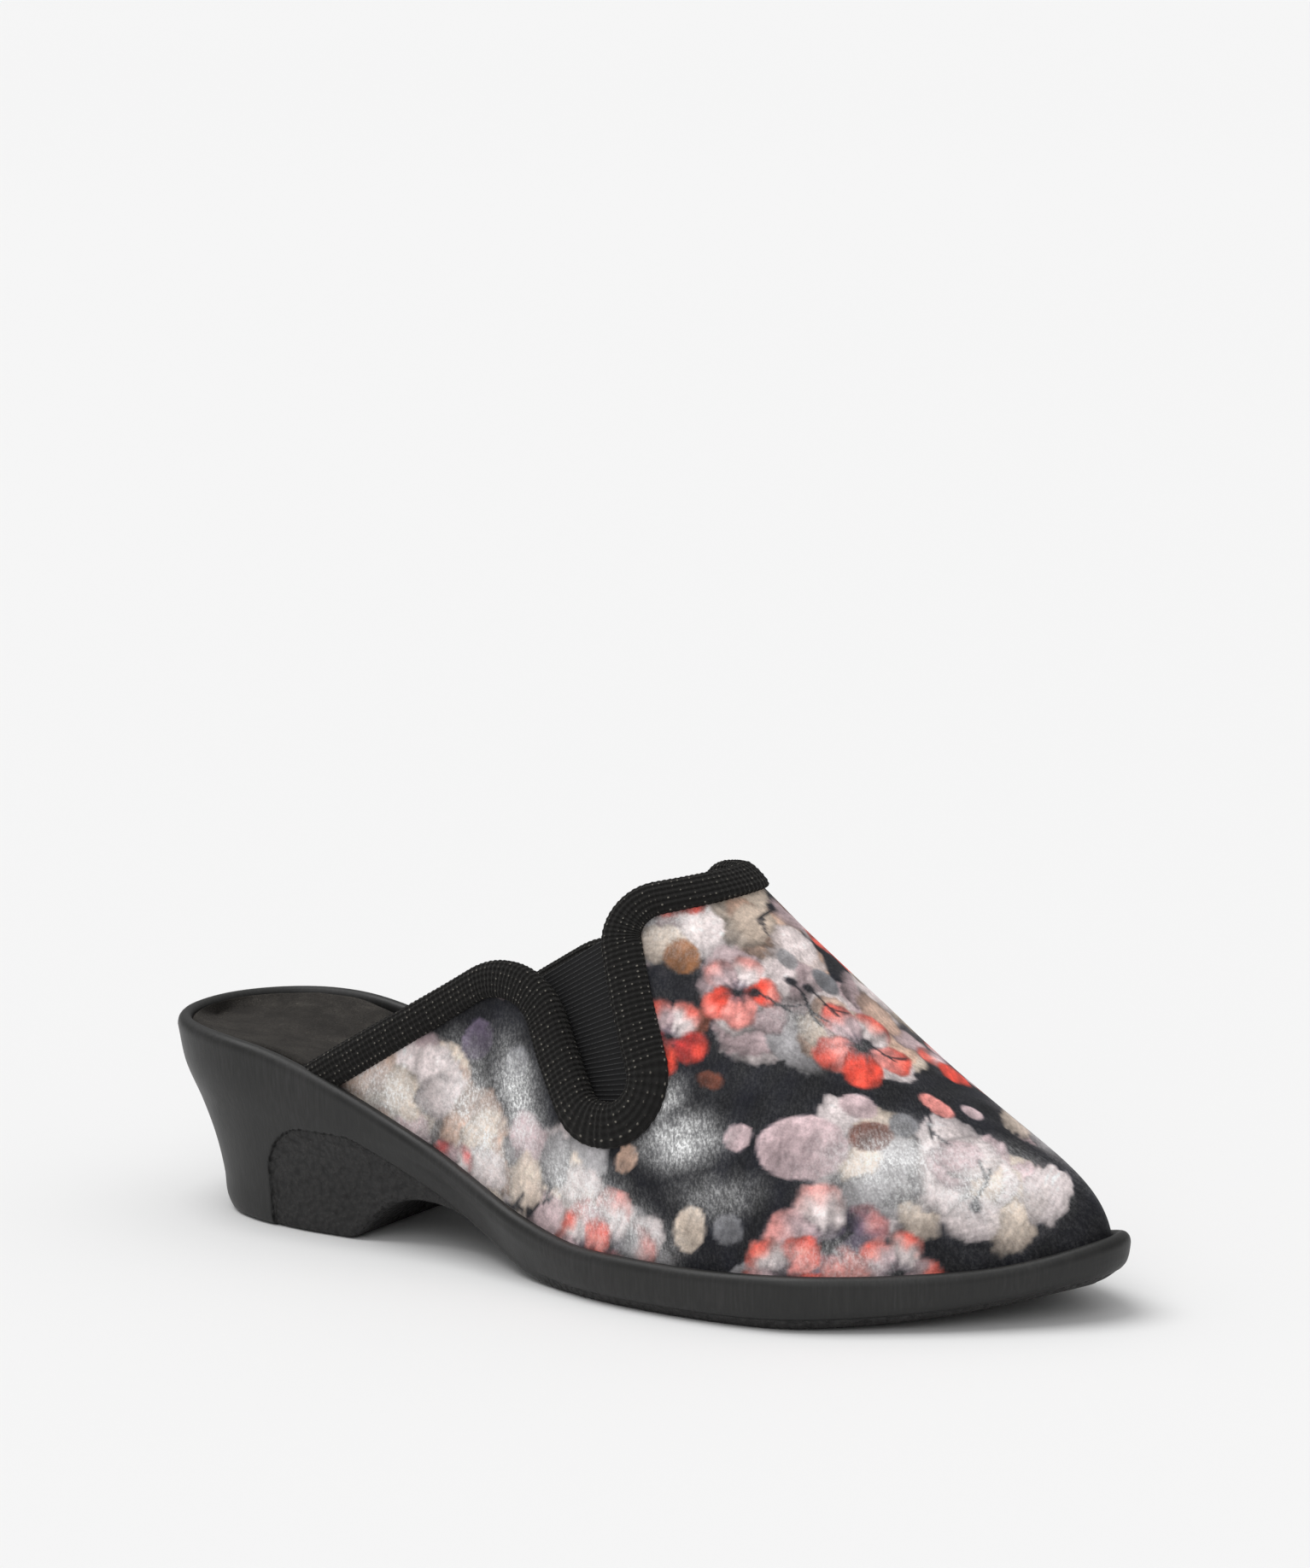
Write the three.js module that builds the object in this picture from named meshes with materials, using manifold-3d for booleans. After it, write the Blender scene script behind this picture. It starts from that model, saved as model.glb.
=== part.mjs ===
// Mule slipper, a woman's right shoe: moulded wedge sole, felt footbed, velour upper with a bound
// collar and an elastic gore behind the notch on each side.
// Millimetres. X runs from the heel's back to the toe, Y to the inner side, Z up from the floor.
import * as THREE from 'three';
import Module from 'manifold-3d';
import { mergeVertices } from 'three/addons/utils/BufferGeometryUtils.js';

const wasm = await Module();
wasm.setup();

// Driving dimensions
const LENGTH = 250;
const BALL_WIDTH = 89;
const HEEL_HEIGHT = 47.6;
const FORE_HEIGHT = 12.3;
const INSTEP_HEIGHT = 100;
const ARCH_RISE = 11.9;
const TOE_SPRING = 9;
const HEEL_TAPER = 14.4;
const LIP_WIDTH = 3.5;
const LIP_ROUND = 1.2;
const RECESS_DEPTH = 7;
const PANEL_DEPTH = 0.7;
const WALL = 2;
const FELT = 4;
const FELT_ROUND = 1;
const TAPE_COVER = 6.3;
const TAPE = 1.6;
const TAPE_INSIDE = 1.2;
const GORE = 1.2;
const GAP = 0.3;

// Round ends of the outline in plan, and how far the vamp's sections lean back at the toe
const HEEL_CAP = 34;
const HEEL_POWER = 2.15;
const TOE_CAP = 62;
const TOE_LEAN = 38;
const LEAN_START = 0.6;

// Sections of the upper: how far up the rise they stay upright, how far over the top they stay level
const UPRIGHT = 0.55;
const CROWN = 0.55;

// Fillets of the collar as seen from the side
const QUARTER_RADIUS = 20;
const NOTCH_RADIUS = 7;
const TONGUE_RADIUS = 9;

// Fineness of the facets
const HEEL_STEPS = 8;
const MID_STEPS = 27;
const TOE_STEPS = 11;
const HALF_STEPS = 13;
const FILLET_STEP = 0.35;
const STRAIGHT_STEP = 6;
const CLOSEST = 1.5;
const GORE_STEPS = 7;
const PANEL_FILLETS = 6;
const BED_SHARES = [0, 0.35, 0.7];
const WALK_STEPS = 4;
const HALVINGS = 40;
const FAR = 200;

const table = (names, ...rows) => {
  const keys = names.split(' ');
  return rows.map((row) => Object.fromEntries(keys.map((key, i) => [key, row[i]])));
};

// Half-widths and centre line at shares of the length, in shares of the ball width
const PLAN = table('at outer inner axis',
  [0.00, 0.348, 0.348, 0],
  [0.18, 0.354, 0.354, 0],
  [0.34, 0.360, 0.348, 0],
  [0.46, 0.438, 0.371, 0],
  [0.56, 0.511, 0.427, 0],
  [0.66, 0.534, 0.466, 0],
  [0.75, 0.522, 0.472, 0.011],
  [0.86, 0.427, 0.404, 0.039],
  [1.00, 0.287, 0.287, 0.090]);

// Rim: lift in shares of the heel's lift over the forefoot, fore in shares of the forefoot's height
const RIM = table('at lift fore',
  [0.00, 1.000, 1],
  [0.08, 0.989, 1],
  [0.16, 0.915, 1],
  [0.24, 0.737, 1],
  [0.32, 0.510, 1],
  [0.40, 0.269, 1],
  [0.48, 0.076, 1],
  [0.56, 0, 1],
  [0.66, 0, 1],
  [0.76, 0, 1.057],
  [0.86, 0, 1.090],
  [0.94, 0, 1.236],
  [1.00, 0, 1.585]);

// Underside: arch in shares of the arch's rise, spring in shares of the toe spring
const UNDER = table('at arch spring',
  [0.000, 0, 0],
  [0.235, 0, 0],
  [0.250, 0.10, 0],
  [0.265, 0.42, 0],
  [0.285, 0.77, 0],
  [0.305, 0.95, 0],
  [0.330, 1, 0],
  [0.370, 0.87, 0],
  [0.410, 0.60, 0],
  [0.450, 0.25, 0],
  [0.480, 0.07, 0],
  [0.520, 0, 0],
  [0.720, 0, 0],
  [0.800, 0, 0.09],
  [0.880, 0, 0.32],
  [0.950, 0, 0.69],
  [1.000, 0, 1]);

// How far the wall's foot lies inside its top, in shares of the heel's taper
const TAPER = table('at inset',
  [0.00, 1.00],
  [0.10, 0.70],
  [0.20, 0.42],
  [0.35, 0.42],
  [0.48, 0.28],
  [0.60, 0.21],
  [0.85, 0.24],
  [1.00, 0.42]);

// The wall's inset from its top down to its foot: hollow at the heel, upright and then bevelled at the
// forefoot; it turns from the one into the other between two shares of the length
const PROFILE = table('at heel fore',
  [0.00, 0, 0],
  [0.20, 0.14, 0.03],
  [0.40, 0.43, 0.08],
  [0.60, 0.67, 0.20],
  [0.80, 0.83, 0.52],
  [0.93, 0.89, 0.83],
  [1.00, 1, 1]);
const PROFILE_TURN = [0.40, 0.60];

// Top line of the vamp in shares of the instep height, and how far it lies to the inner side, in
// shares of the ball width
const RIDGE = table('at height aside',
  [0.00, 1.090, 0.022],
  [0.40, 1.090, 0.030],
  [0.48, 1.067, 0.034],
  [0.56, 1.002, 0.040],
  [0.66, 0.807, 0.047],
  [0.76, 0.599, 0.054],
  [0.86, 0.440, 0.063],
  [0.94, 0.320, 0.076],
  [1.00, 0.230, 0.090]);

// Footbed: drop of its edge under the rim and dish of its middle, in shares of the recess, and its
// side's draft in shares of the lip
const FOOTBED = table('at drop dish draft',
  [0.00, 0.12, 0.45, 0],
  [0.20, 0.12, 0.45, 0],
  [0.40, 0.38, 0.15, 0.1],
  [0.60, 0.38, 0.10, 0.1],
  [0.85, 0.38, 0.10, 0.3],
  [1.00, 0.38, 0.10, 0.6]);

// Collar as seen from the side: corners in shares of the length and of the instep height, on the outer
// side and on the inner side, where the quarter is a little lower
const COLLAR = table('at outer inner radius',
  [0.1720, 0.352, 0.322, 0],
  [0.4456, 0.775, 0.745, QUARTER_RADIUS],
  [0.5400, 0.436, 0.436, NOTCH_RADIUS],
  [0.6070, 0.440, 0.440, NOTCH_RADIUS],
  [0.5128, 0.890, 0.890, TONGUE_RADIUS],
  [0.6400, 0.950, 0.950, 0]);

// Corners of the gore as seen from the side, same shares
const GORE_CORNERS = {
  rearLow: [0.516, 0.415], frontLow: [0.612, 0.425],
  rearHigh: [0.432, 0.668], frontHigh: [0.560, 0.885],
};

// Sunk panel on the heel's side: corners in shares of the length and of the heel height
const PANEL = table('at up radius',
  [0.150, -0.04, 0],
  [0.150, 0.55, 13],
  [0.255, 0.55, 12],
  [0.490, -0.04, 0]);

// Colour, roughness and metalness of each piece
const FINISH = {
  sole: [0x3f3e3d, 0.55], insole: [0x2b2a29, 0.95], upper: [0x8d8284, 0.8],
  binding: [0x151514, 0.9], gore: [0x131312, 0.85],
};

// Smooth curve through a column of a table: cubic pieces that never overshoot their rows
function spline(rows, key) {
  const x = rows.map((row) => row.at);
  const y = rows.map((row) => row[key]);
  const n = rows.length;
  const slope = x.slice(1).map((v, i) => (y[i + 1] - y[i]) / (v - x[i]));
  const tangent = x.map((v, i) => {
    if (i === 0 || i === n - 1) return slope[Math.min(i, n - 2)];
    const [a, b] = [slope[i - 1], slope[i]];
    if (a * b <= 0) return 0;
    const [before, after] = [v - x[i - 1], x[i + 1] - v];
    const mean = (a * after + b * before) / (before + after);
    return Math.sign(a) * Math.min(Math.abs(mean), 3 * Math.abs(a), 3 * Math.abs(b));
  });
  return (at) => {
    const t = Math.min(Math.max(at, x[0]), x[n - 1]);
    let i = 0;
    while (i < n - 2 && t > x[i + 1]) i += 1;
    const span = x[i + 1] - x[i];
    const u = (t - x[i]) / span;
    const start = (1 + 2 * u) * (1 - u) ** 2 * y[i] + u * (1 - u) ** 2 * span * tangent[i];
    return start + u * u * (3 - 2 * u) * y[i + 1] + u * u * (u - 1) * span * tangent[i + 1];
  };
}

const column = (rows, key) => {
  const curve = spline(rows, key);
  return (x) => curve(x / LENGTH);
};
const halfWidth = { '-1': column(PLAN, 'outer'), 1: column(PLAN, 'inner') };
const axis = column(PLAN, 'axis');
const lift = column(RIM, 'lift');
const fore = column(RIM, 'fore');
const rim = (x) => lift(x) * (HEEL_HEIGHT - FORE_HEIGHT) + fore(x) * FORE_HEIGHT;
const arch = column(UNDER, 'arch');
const spring = column(UNDER, 'spring');
const under = (x) => arch(x) * ARCH_RISE + spring(x) * TOE_SPRING;
const taper = column(TAPER, 'inset');
const heelProfile = spline(PROFILE, 'heel');
const foreProfile = spline(PROFILE, 'fore');
const profile = (x, down) => {
  const turned = THREE.MathUtils.smoothstep(x / LENGTH, ...PROFILE_TURN);
  return THREE.MathUtils.lerp(heelProfile(down), foreProfile(down), turned);
};
const ridgeShare = column(RIDGE, 'height');
const ridge = (x) => ridgeShare(x) * INSTEP_HEIGHT;
const ridgeAside = column(RIDGE, 'aside');
const bed = (x) => rim(x) - RECESS_DEPTH;

// Outline of the rim in plan; side is -1 on the outer side and 1 on the inner side
function edge(side, x) {
  const heel = Math.min(Math.max(1 - x / HEEL_CAP, 0), 1);
  const toe = Math.min(Math.max((x - LENGTH + TOE_CAP) / TOE_CAP, 0), 1);
  const cap = (1 - heel ** HEEL_POWER) ** (1 / HEEL_POWER) * Math.sqrt(1 - toe ** 2);
  return (axis(x) + side * halfWidth[side](x) * cap) * BALL_WIDTH;
}

// The outline moved inwards by a distance along its own normal
function inset(side, x, distance) {
  if (x <= 0) return new THREE.Vector2(distance, axis(0) * BALL_WIDTH);
  if (x >= LENGTH) return new THREE.Vector2(LENGTH - distance, axis(LENGTH) * BALL_WIDTH);
  const step = LENGTH * 1e-6;
  const along = new THREE.Vector2(2 * step, edge(side, x + step) - edge(side, x - step)).normalize();
  return new THREE.Vector2(x + side * along.y * distance, edge(side, x) - side * along.x * distance);
}

// Stations along the length, closer together in the round ends and at the arch's own sections
function stations() {
  const toeStart = LENGTH - TOE_CAP;
  const isMiddle = (x) => x > HEEL_CAP && x < toeStart;
  const quarterTurn = Math.PI / 2;
  const places = UNDER.map((row) => row.at * LENGTH).filter(isMiddle);
  for (let i = 0; i < HEEL_STEPS; i += 1) {
    places.push(HEEL_CAP * (1 - Math.cos((quarterTurn * i) / HEEL_STEPS)));
  }
  for (let i = 0; i < MID_STEPS; i += 1) places.push(HEEL_CAP + ((toeStart - HEEL_CAP) * i) / MID_STEPS);
  for (let i = 0; i <= TOE_STEPS; i += 1) {
    places.push(toeStart + TOE_CAP * Math.sin((quarterTurn * i) / TOE_STEPS));
  }
  places.sort((a, b) => a - b);
  return places.filter((x, i) => i === 0 || x - places[i - 1] > CLOSEST || !isMiddle(x));
}
const STATIONS = stations();

// Closed surface from rings of points, one ring for each station; a ring at a round end folds flat and
// seals itself
function ringBody(rings) {
  const count = rings[0].length;
  const positions = rings.flat().flatMap((p) => [p.x, p.y, p.z]);
  const index = [];
  for (let i = 0; i < rings.length - 1; i += 1) {
    for (let j = 0; j < count; j += 1) {
      const k = (j + 1) % count;
      const [a, b, c, d] = [i * count + j, i * count + k, (i + 1) * count + k, (i + 1) * count + j];
      index.push(a, b, c, a, c, d);
    }
  }
  return { positions, index };
}

// Strip over an open end: the ring's first half faces its second half, point by point
function capStrip(index, start, count, flip = false) {
  for (let j = 0; j < count / 2 - 1; j += 1) {
    const [a, b, c, d] = [start + j, start + j + 1, start + count - 2 - j, start + count - 1 - j];
    const strip = [a, c, b, a, d, c];
    index.push(...(flip ? strip.reverse() : strip));
  }
}

// Merge equal corners, drop flat facets, and turn every face outwards
function solid({ positions, index }) {
  let geometry = new THREE.BufferGeometry();
  geometry.setAttribute('position', new THREE.Float32BufferAttribute(positions, 3));
  geometry.setIndex(index);
  geometry = mergeVertices(geometry, 1e-4);
  const kept = [];
  const merged = geometry.index.array;
  for (let i = 0; i < merged.length; i += 3) {
    const [a, b, c] = [merged[i], merged[i + 1], merged[i + 2]];
    if (a !== b && b !== c && c !== a) kept.push(a, b, c);
  }
  const points = geometry.attributes.position;
  const corner = (n) => new THREE.Vector3().fromBufferAttribute(points, n);
  let volume = 0;
  for (let i = 0; i < kept.length; i += 3) {
    volume += corner(kept[i]).dot(corner(kept[i + 1]).cross(corner(kept[i + 2])));
  }
  if (volume < 0) kept.reverse();
  const vertProperties = new Float32Array(points.array);
  return new wasm.Manifold(new wasm.Mesh({ numProp: 3, vertProperties, triVerts: new Uint32Array(kept) }));
}

function node(name, body, [colour, roughness]) {
  const { vertProperties, triVerts } = body.getMesh();
  const geometry = new THREE.BufferGeometry();
  geometry.setAttribute('position', new THREE.Float32BufferAttribute(vertProperties, 3));
  geometry.setIndex(new THREE.Uint32BufferAttribute(triVerts, 1));
  geometry.computeVertexNormals();
  const finish = new THREE.MeshStandardMaterial({ color: colour, roughness, metalness: 0 });
  const mesh = new THREE.Mesh(geometry, finish);
  mesh.name = name;
  return mesh;
}

const mirrored = (points) => [...points(-1), ...points(1).reverse()];
const place = (side, x, distance, z) => {
  const plan = inset(side, x, distance);
  return new THREE.Vector3(plan.x, plan.y, typeof z === 'function' ? z(plan.x) : z);
};

// Sole: each ring runs from the recess's middle over the lip, down the wall and across the underside
function soleBody(shrink = 0) {
  const rings = STATIONS.map((x) => mirrored((side) => {
    const foot = taper(x) * HEEL_TAPER;
    const top = rim(x);
    const wallTop = top - LIP_ROUND;
    const bedEdge = place(side, x, LIP_WIDTH, bed);
    const points = [bedEdge.clone().lerp(place(-side, x, LIP_WIDTH, bed), 0.5), bedEdge];
    points.push(place(side, x, LIP_WIDTH, top - LIP_ROUND / 3));
    points.push(place(side, x, LIP_WIDTH - LIP_ROUND / 2, top));
    points.push(place(side, x, LIP_ROUND + shrink, top));
    points.push(place(side, x, LIP_ROUND / 3 + shrink, top - LIP_ROUND / 3));
    for (const { at: down } of PROFILE) {
      const at = place(side, x, foot * profile(x, down) + shrink, 0);
      at.z = wallTop * (1 - down) + under(at.x) * down;
      points.push(at);
    }
    return points;
  }));
  return solid(ringBody(rings));
}

// Outline from corners, each rounded by an arc of its own radius
function roundedOutline(rows, height, key, arcSteps) {
  const corners = rows.map((row) => new THREE.Vector2(row.at * LENGTH, row[key] * height));
  const points = [corners[0]];
  for (let i = 1; i < corners.length - 1; i += 1) {
    const radius = rows[i].radius;
    const back = corners[i - 1].clone().sub(corners[i]).normalize();
    const ahead = corners[i + 1].clone().sub(corners[i]).normalize();
    const half = Math.acos(back.dot(ahead)) / 2;
    const centre = back.clone().add(ahead).normalize();
    centre.multiplyScalar(radius / Math.sin(half)).add(corners[i]);
    const start = back.multiplyScalar(radius / Math.tan(half)).add(corners[i]).sub(centre);
    const end = ahead.multiplyScalar(radius / Math.tan(half)).add(corners[i]).sub(centre);
    const turn = Math.atan2(start.cross(end), start.dot(end));
    const steps = arcSteps ?? Math.ceil(Math.abs(turn) / FILLET_STEP);
    for (let j = 0; j <= steps; j += 1) {
      points.push(start.clone().rotateAround(new THREE.Vector2(), (turn * j) / steps).add(centre));
    }
  }
  points.push(corners.at(-1));
  return points;
}

// Prism over an outline seen from the side, between two places across the shoe
function prism(outline, from = -BALL_WIDTH, to = BALL_WIDTH) {
  const across = { depth: to - from, bevelEnabled: false };
  const geometry = new THREE.ExtrudeGeometry(new THREE.Shape(outline), across);
  geometry.rotateX(Math.PI / 2).translate(0, to, 0);
  geometry.deleteAttribute('normal');
  geometry.deleteAttribute('uv');
  const merged = mergeVertices(geometry, 1e-4);
  return solid({ positions: [...merged.attributes.position.array], index: [...merged.index.array] });
}

function sole() {
  const panel = prism(roundedOutline(PANEL, HEEL_HEIGHT, 'up', PANEL_FILLETS));
  return soleBody().subtract(panel.subtract(soleBody(PANEL_DEPTH)));
}

// Footbed: behind the upper it reaches the lip, and further forward it lies inside the upper
function insole() {
  const drop = column(FOOTBED, 'drop');
  const dish = column(FOOTBED, 'dish');
  const draft = column(FOOTBED, 'draft');
  const foot = COLLAR[0].at * LENGTH;
  const rings = STATIONS.map((x) => mirrored((side) => {
    const inside = THREE.MathUtils.smoothstep(x, foot - 3 * STRAIGHT_STEP, foot - STRAIGHT_STEP / 2);
    const reach = LIP_WIDTH + GAP + inside * (WALL + GAP);
    const top = bed(x) + Math.max(RECESS_DEPTH * (1 - drop(x)), FELT);
    const deep = dish(x) * RECESS_DEPTH;
    const lean = draft(x) * LIP_WIDTH;
    const floor = (px) => bed(px) + GAP;
    const across = (distance, z, share) => {
      return place(side, x, distance, z).lerp(place(-side, x, distance, z), share);
    };
    const points = BED_SHARES.map((out) => {
      return across(reach + lean + GAP, top - deep * (1 - out ** 2), (1 - out) / 2);
    });
    points.push(place(side, x, reach + lean + 2 * GAP, top));
    points.push(place(side, x, reach + lean / 2, top - FELT_ROUND));
    points.push(place(side, x, reach, floor));
    points.push(across(reach, floor, 1 / 2));
    return points;
  }));
  return solid(ringBody(rings));
}

// Outer face of the upper: across runs from -1 at the outer feather over 0 on the ridge to 1 at the inner
// feather. Each section is a cubic curve that leaves the feather upright and meets the ridge level.
function upperFace(x, across) {
  const side = across > 0 ? 1 : -1;
  const t = 1 - Math.abs(across);
  const feather = place(side, x, LIP_WIDTH + GAP, 0);
  feather.z = bed(x) + GAP;
  const lean = TOE_LEAN * THREE.MathUtils.smoothstep(x, LEAN_START * LENGTH, LENGTH);
  const top = new THREE.Vector3(x - lean, ridgeAside(x - lean) * BALL_WIDTH, ridge(x - lean));
  const fall = (ridge(top.x + GAP) - ridge(top.x - GAP)) / (2 * GAP);
  const low = feather.clone();
  low.z += UPRIGHT * (top.z - feather.z);
  const high = top.clone().lerp(feather, CROWN);
  high.z = top.z + CROWN * fall * (feather.x - top.x);
  return feather.multiplyScalar((1 - t) ** 3).addScaledVector(low, 3 * t * (1 - t) ** 2)
    .addScaledVector(high, 3 * t * t * (1 - t)).addScaledVector(top, t ** 3);
}

// Slopes of the face along both of its parameters, and its outward normal
function faceFrame(x, across) {
  const step = 1e-3;
  const along = upperFace(x + step, across).sub(upperFace(x - step, across)).divideScalar(2 * step);
  const over = upperFace(x, across + step).sub(upperFace(x, across - step)).divideScalar(2 * step);
  return { along, over, normal: along.clone().cross(over).normalize() };
}

// Station and across of the point of the face that lies at (x, z) as seen from the side
function locate(side, x, z) {
  let station = x;
  let t = 0.5;
  for (let round = 0; round < WALK_STEPS; round += 1) {
    let [low, high] = [-0.1, 1];
    for (let i = 0; i < HALVINGS; i += 1) {
      t = (low + high) / 2;
      if (upperFace(station, side * (1 - t)).z < z) low = t;
      else high = t;
    }
    station += x - upperFace(station, side * (1 - t)).x;
  }
  return { x: station, across: side * (1 - t) };
}

// Point reached by following the face from a place in a level direction of it
function walk(start, direction, distance) {
  const at = { ...start };
  const heading = direction.clone();
  for (let i = 0; i < WALK_STEPS; i += 1) {
    const { along, over, normal } = faceFrame(at.x, at.across);
    heading.addScaledVector(normal, -heading.dot(normal)).normalize();
    const [aa, ab, bb] = [along.dot(along), along.dot(over), over.dot(over)];
    const [ha, hb] = [heading.dot(along), heading.dot(over)];
    const scale = distance / WALK_STEPS / (aa * bb - ab * ab);
    at.x += (ha * bb - hb * ab) * scale;
    at.across += (hb * aa - ha * ab) * scale;
  }
  return at;
}

const raised = (at, height) => {
  return upperFace(at.x, at.across).addScaledVector(faceFrame(at.x, at.across).normal, height);
};

// Upper: one shell from feather to feather over the ridge; the collar is cut as seen from each side, and
// its edge is squared to the wall
function upper() {
  const rear = COLLAR[0].at * LENGTH - STRAIGHT_STEP / 3;
  const places = [rear, ...STATIONS.filter((x) => x > rear + GAP)];
  const shares = [];
  for (let j = -HALF_STEPS; j <= HALF_STEPS; j += 1) shares.push(j / HALF_STEPS);
  const grid = places.map((x) => shares.map((across) => upperFace(x, across)));
  const last = grid.length - 1;
  const middle = HALF_STEPS;
  for (let j = middle + 1; j < shares.length; j += 1) grid[last][j] = grid[last][2 * middle - j].clone();
  const normals = gridNormals(grid, last, middle);
  const rings = grid.map((row, i) => {
    const inside = row.map((p, j) => p.clone().addScaledVector(normals[i][j], -WALL));
    inside[0].z = row[0].z;
    inside.at(-1).z = row.at(-1).z;
    return [...row, ...inside.reverse()];
  });
  const body = ringBody(rings);
  capStrip(body.index, 0, rings[0].length);
  const square = [[0, WALL], [-NOTCH_RADIUS / 2, WALL], [-NOTCH_RADIUS / 2, -2 * WALL], [0, -2 * WALL]];
  return solid(body).subtract(opening(-1)).subtract(opening(1)).subtract(alongCollar(square));
}

// All that lies behind the collar on one side, up to just past the middle
function opening(side) {
  const outline = collarOutline(side);
  const [foot, end] = [outline[0], outline.at(-1)];
  outline.push(new THREE.Vector2(end.x, FAR), new THREE.Vector2(0, FAR), new THREE.Vector2(0, foot.y));
  return side < 0 ? prism(outline, -BALL_WIDTH, GAP) : prism(outline, -GAP, BALL_WIDTH);
}

// Normals of the grid's corners from its facets; both halves share the last column, at the toe
function gridNormals(grid, last, middle) {
  const sums = grid.map((row) => row.map(() => new THREE.Vector3()));
  const add = (i, j, normal) => {
    sums[i][j].add(normal);
    if (i === last) sums[i][2 * middle - j].add(normal);
  };
  for (let i = 0; i < last; i += 1) {
    for (let j = 0; j < 2 * middle; j += 1) {
      const one = grid[i + 1][j + 1].clone().sub(grid[i][j]);
      const two = grid[i][j + 1].clone().sub(grid[i + 1][j]);
      const normal = one.cross(two);
      [[i, j], [i + 1, j], [i, j + 1], [i + 1, j + 1]].forEach(([a, b]) => add(a, b, normal));
    }
  }
  return sums.map((row) => row.map((normal) => normal.normalize()));
}

function collarOutline(side) {
  return roundedOutline(COLLAR, INSTEP_HEIGHT, side < 0 ? 'outer' : 'inner');
}

// Height at which the tongue's top edge crosses the ridge
function ridgeCrossing(outline) {
  const [from, to] = outline.slice(-2);
  let [low, high] = [0, 1];
  for (let i = 0; i < HALVINGS; i += 1) {
    const middle = (low + high) / 2;
    const point = from.clone().lerp(to, middle);
    if (point.y < ridge(point.x)) low = middle;
    else high = middle;
  }
  return from.clone().lerp(to, low);
}

// Collar on the face: places from the outer rear foot over the tongue to the inner rear foot
function collarPath() {
  const crossing = ridgeCrossing(collarOutline(-1));
  const half = (side) => {
    const corners = [...collarOutline(side).slice(0, -1), crossing];
    const seen = [];
    for (let i = 0; i < corners.length - 1; i += 1) {
      const steps = Math.ceil(corners[i].distanceTo(corners[i + 1]) / STRAIGHT_STEP);
      const isTop = i === corners.length - 2;
      const count = isTop ? 2 * steps + 2 : steps;
      for (let j = 0; j < count; j += 1) {
        const share = isTop ? 1 - (1 - j / count) ** 2 : j / count;
        seen.push(corners[i].clone().lerp(corners[i + 1], share));
      }
    }
    return seen.map((point) => locate(side, point.x, point.y));
  };
  return [...half(-1), { x: crossing.x, across: 0 }, ...half(1).reverse()];
}

// Section swept along the collar, its points given as distance onto the fabric and height over the
// outer face
function alongCollar(section) {
  const path = collarPath();
  const points = path.map((at) => upperFace(at.x, at.across));
  const rings = path.map((at, i) => {
    const [before, after] = [Math.max(i - 1, 0), Math.min(i + 1, points.length - 1)];
    const tangent = points[after].clone().sub(points[before]);
    const onto = tangent.cross(faceFrame(at.x, at.across).normal);
    return section.map(([cover, height]) => raised(walk(at, onto, cover), height));
  });
  const body = ringBody(rings);
  capStrip(body.index, 0, section.length);
  capStrip(body.index, (rings.length - 1) * section.length, section.length, true);
  return solid(body);
}

// Binding: a folded braid, its two legs on both faces of the upper and its fold over the collar, cut off
// above the rim
function binding() {
  const outside = GAP + TAPE;
  const inside = -WALL - GAP - TAPE_INSIDE;
  const section = [
    [TAPE_COVER, outside], [-GAP, outside], [-outside, outside - TAPE], [-outside, inside + TAPE_INSIDE],
    [-GAP, inside], [TAPE_COVER, inside],
    [TAPE_COVER, -WALL - GAP], [-GAP, -WALL - GAP], [-GAP, -WALL],
    [-GAP, 0], [-GAP, GAP], [TAPE_COVER, GAP],
  ];
  const half = LENGTH / 2;
  const below = [new THREE.Vector2(half, 0), new THREE.Vector2(0, 0)];
  for (const x of STATIONS) {
    if (x < half) below.push(new THREE.Vector2(x, rim(x) + GAP));
  }
  below.push(new THREE.Vector2(half, rim(half)));
  return alongCollar(section).subtract(prism(below));
}

// Gore: an elastic panel behind the notch, just inside the binding's inner leg
function gore(side) {
  const face = -WALL - TAPE_INSIDE - 2 * GAP;
  const corner = ([at, up]) => new THREE.Vector2(at * LENGTH, up * INSTEP_HEIGHT);
  const [rearLow, frontLow, rearHigh, frontHigh] = ['rearLow', 'frontLow', 'rearHigh', 'frontHigh']
    .map((name) => corner(GORE_CORNERS[name]));
  const rings = [];
  for (let i = 0; i <= GORE_STEPS; i += 1) {
    const rear = rearLow.clone().lerp(rearHigh, i / GORE_STEPS);
    const front = frontLow.clone().lerp(frontHigh, i / GORE_STEPS);
    const places = [];
    for (let j = 0; j <= GORE_STEPS; j += 1) {
      const point = rear.clone().lerp(front, j / GORE_STEPS);
      places.push(locate(side, point.x, point.y));
    }
    const inside = places.map((at) => raised(at, face - GORE)).reverse();
    rings.push([...places.map((at) => raised(at, face)), ...inside]);
  }
  const body = ringBody(rings);
  const count = rings[0].length;
  capStrip(body.index, 0, count);
  capStrip(body.index, (rings.length - 1) * count, count, true);
  return solid(body);
}

const shoe = new THREE.Group();
shoe.add(node('sole', sole(), FINISH.sole));
shoe.add(node('insole', insole(), FINISH.insole));
shoe.add(node('upper', upper(), FINISH.upper));
shoe.add(node('binding', binding(), FINISH.binding));
shoe.add(node('gore_outer', gore(-1), FINISH.gore));
shoe.add(node('gore_inner', gore(1), FINISH.gore));

// Origin under the middle of the whole shoe
const box = new THREE.Box3().setFromObject(shoe);
const centre = box.getCenter(new THREE.Vector3());
for (const piece of shoe.children) piece.geometry.translate(-centre.x, -centre.y, -box.min.z);

export default shoe;
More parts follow.
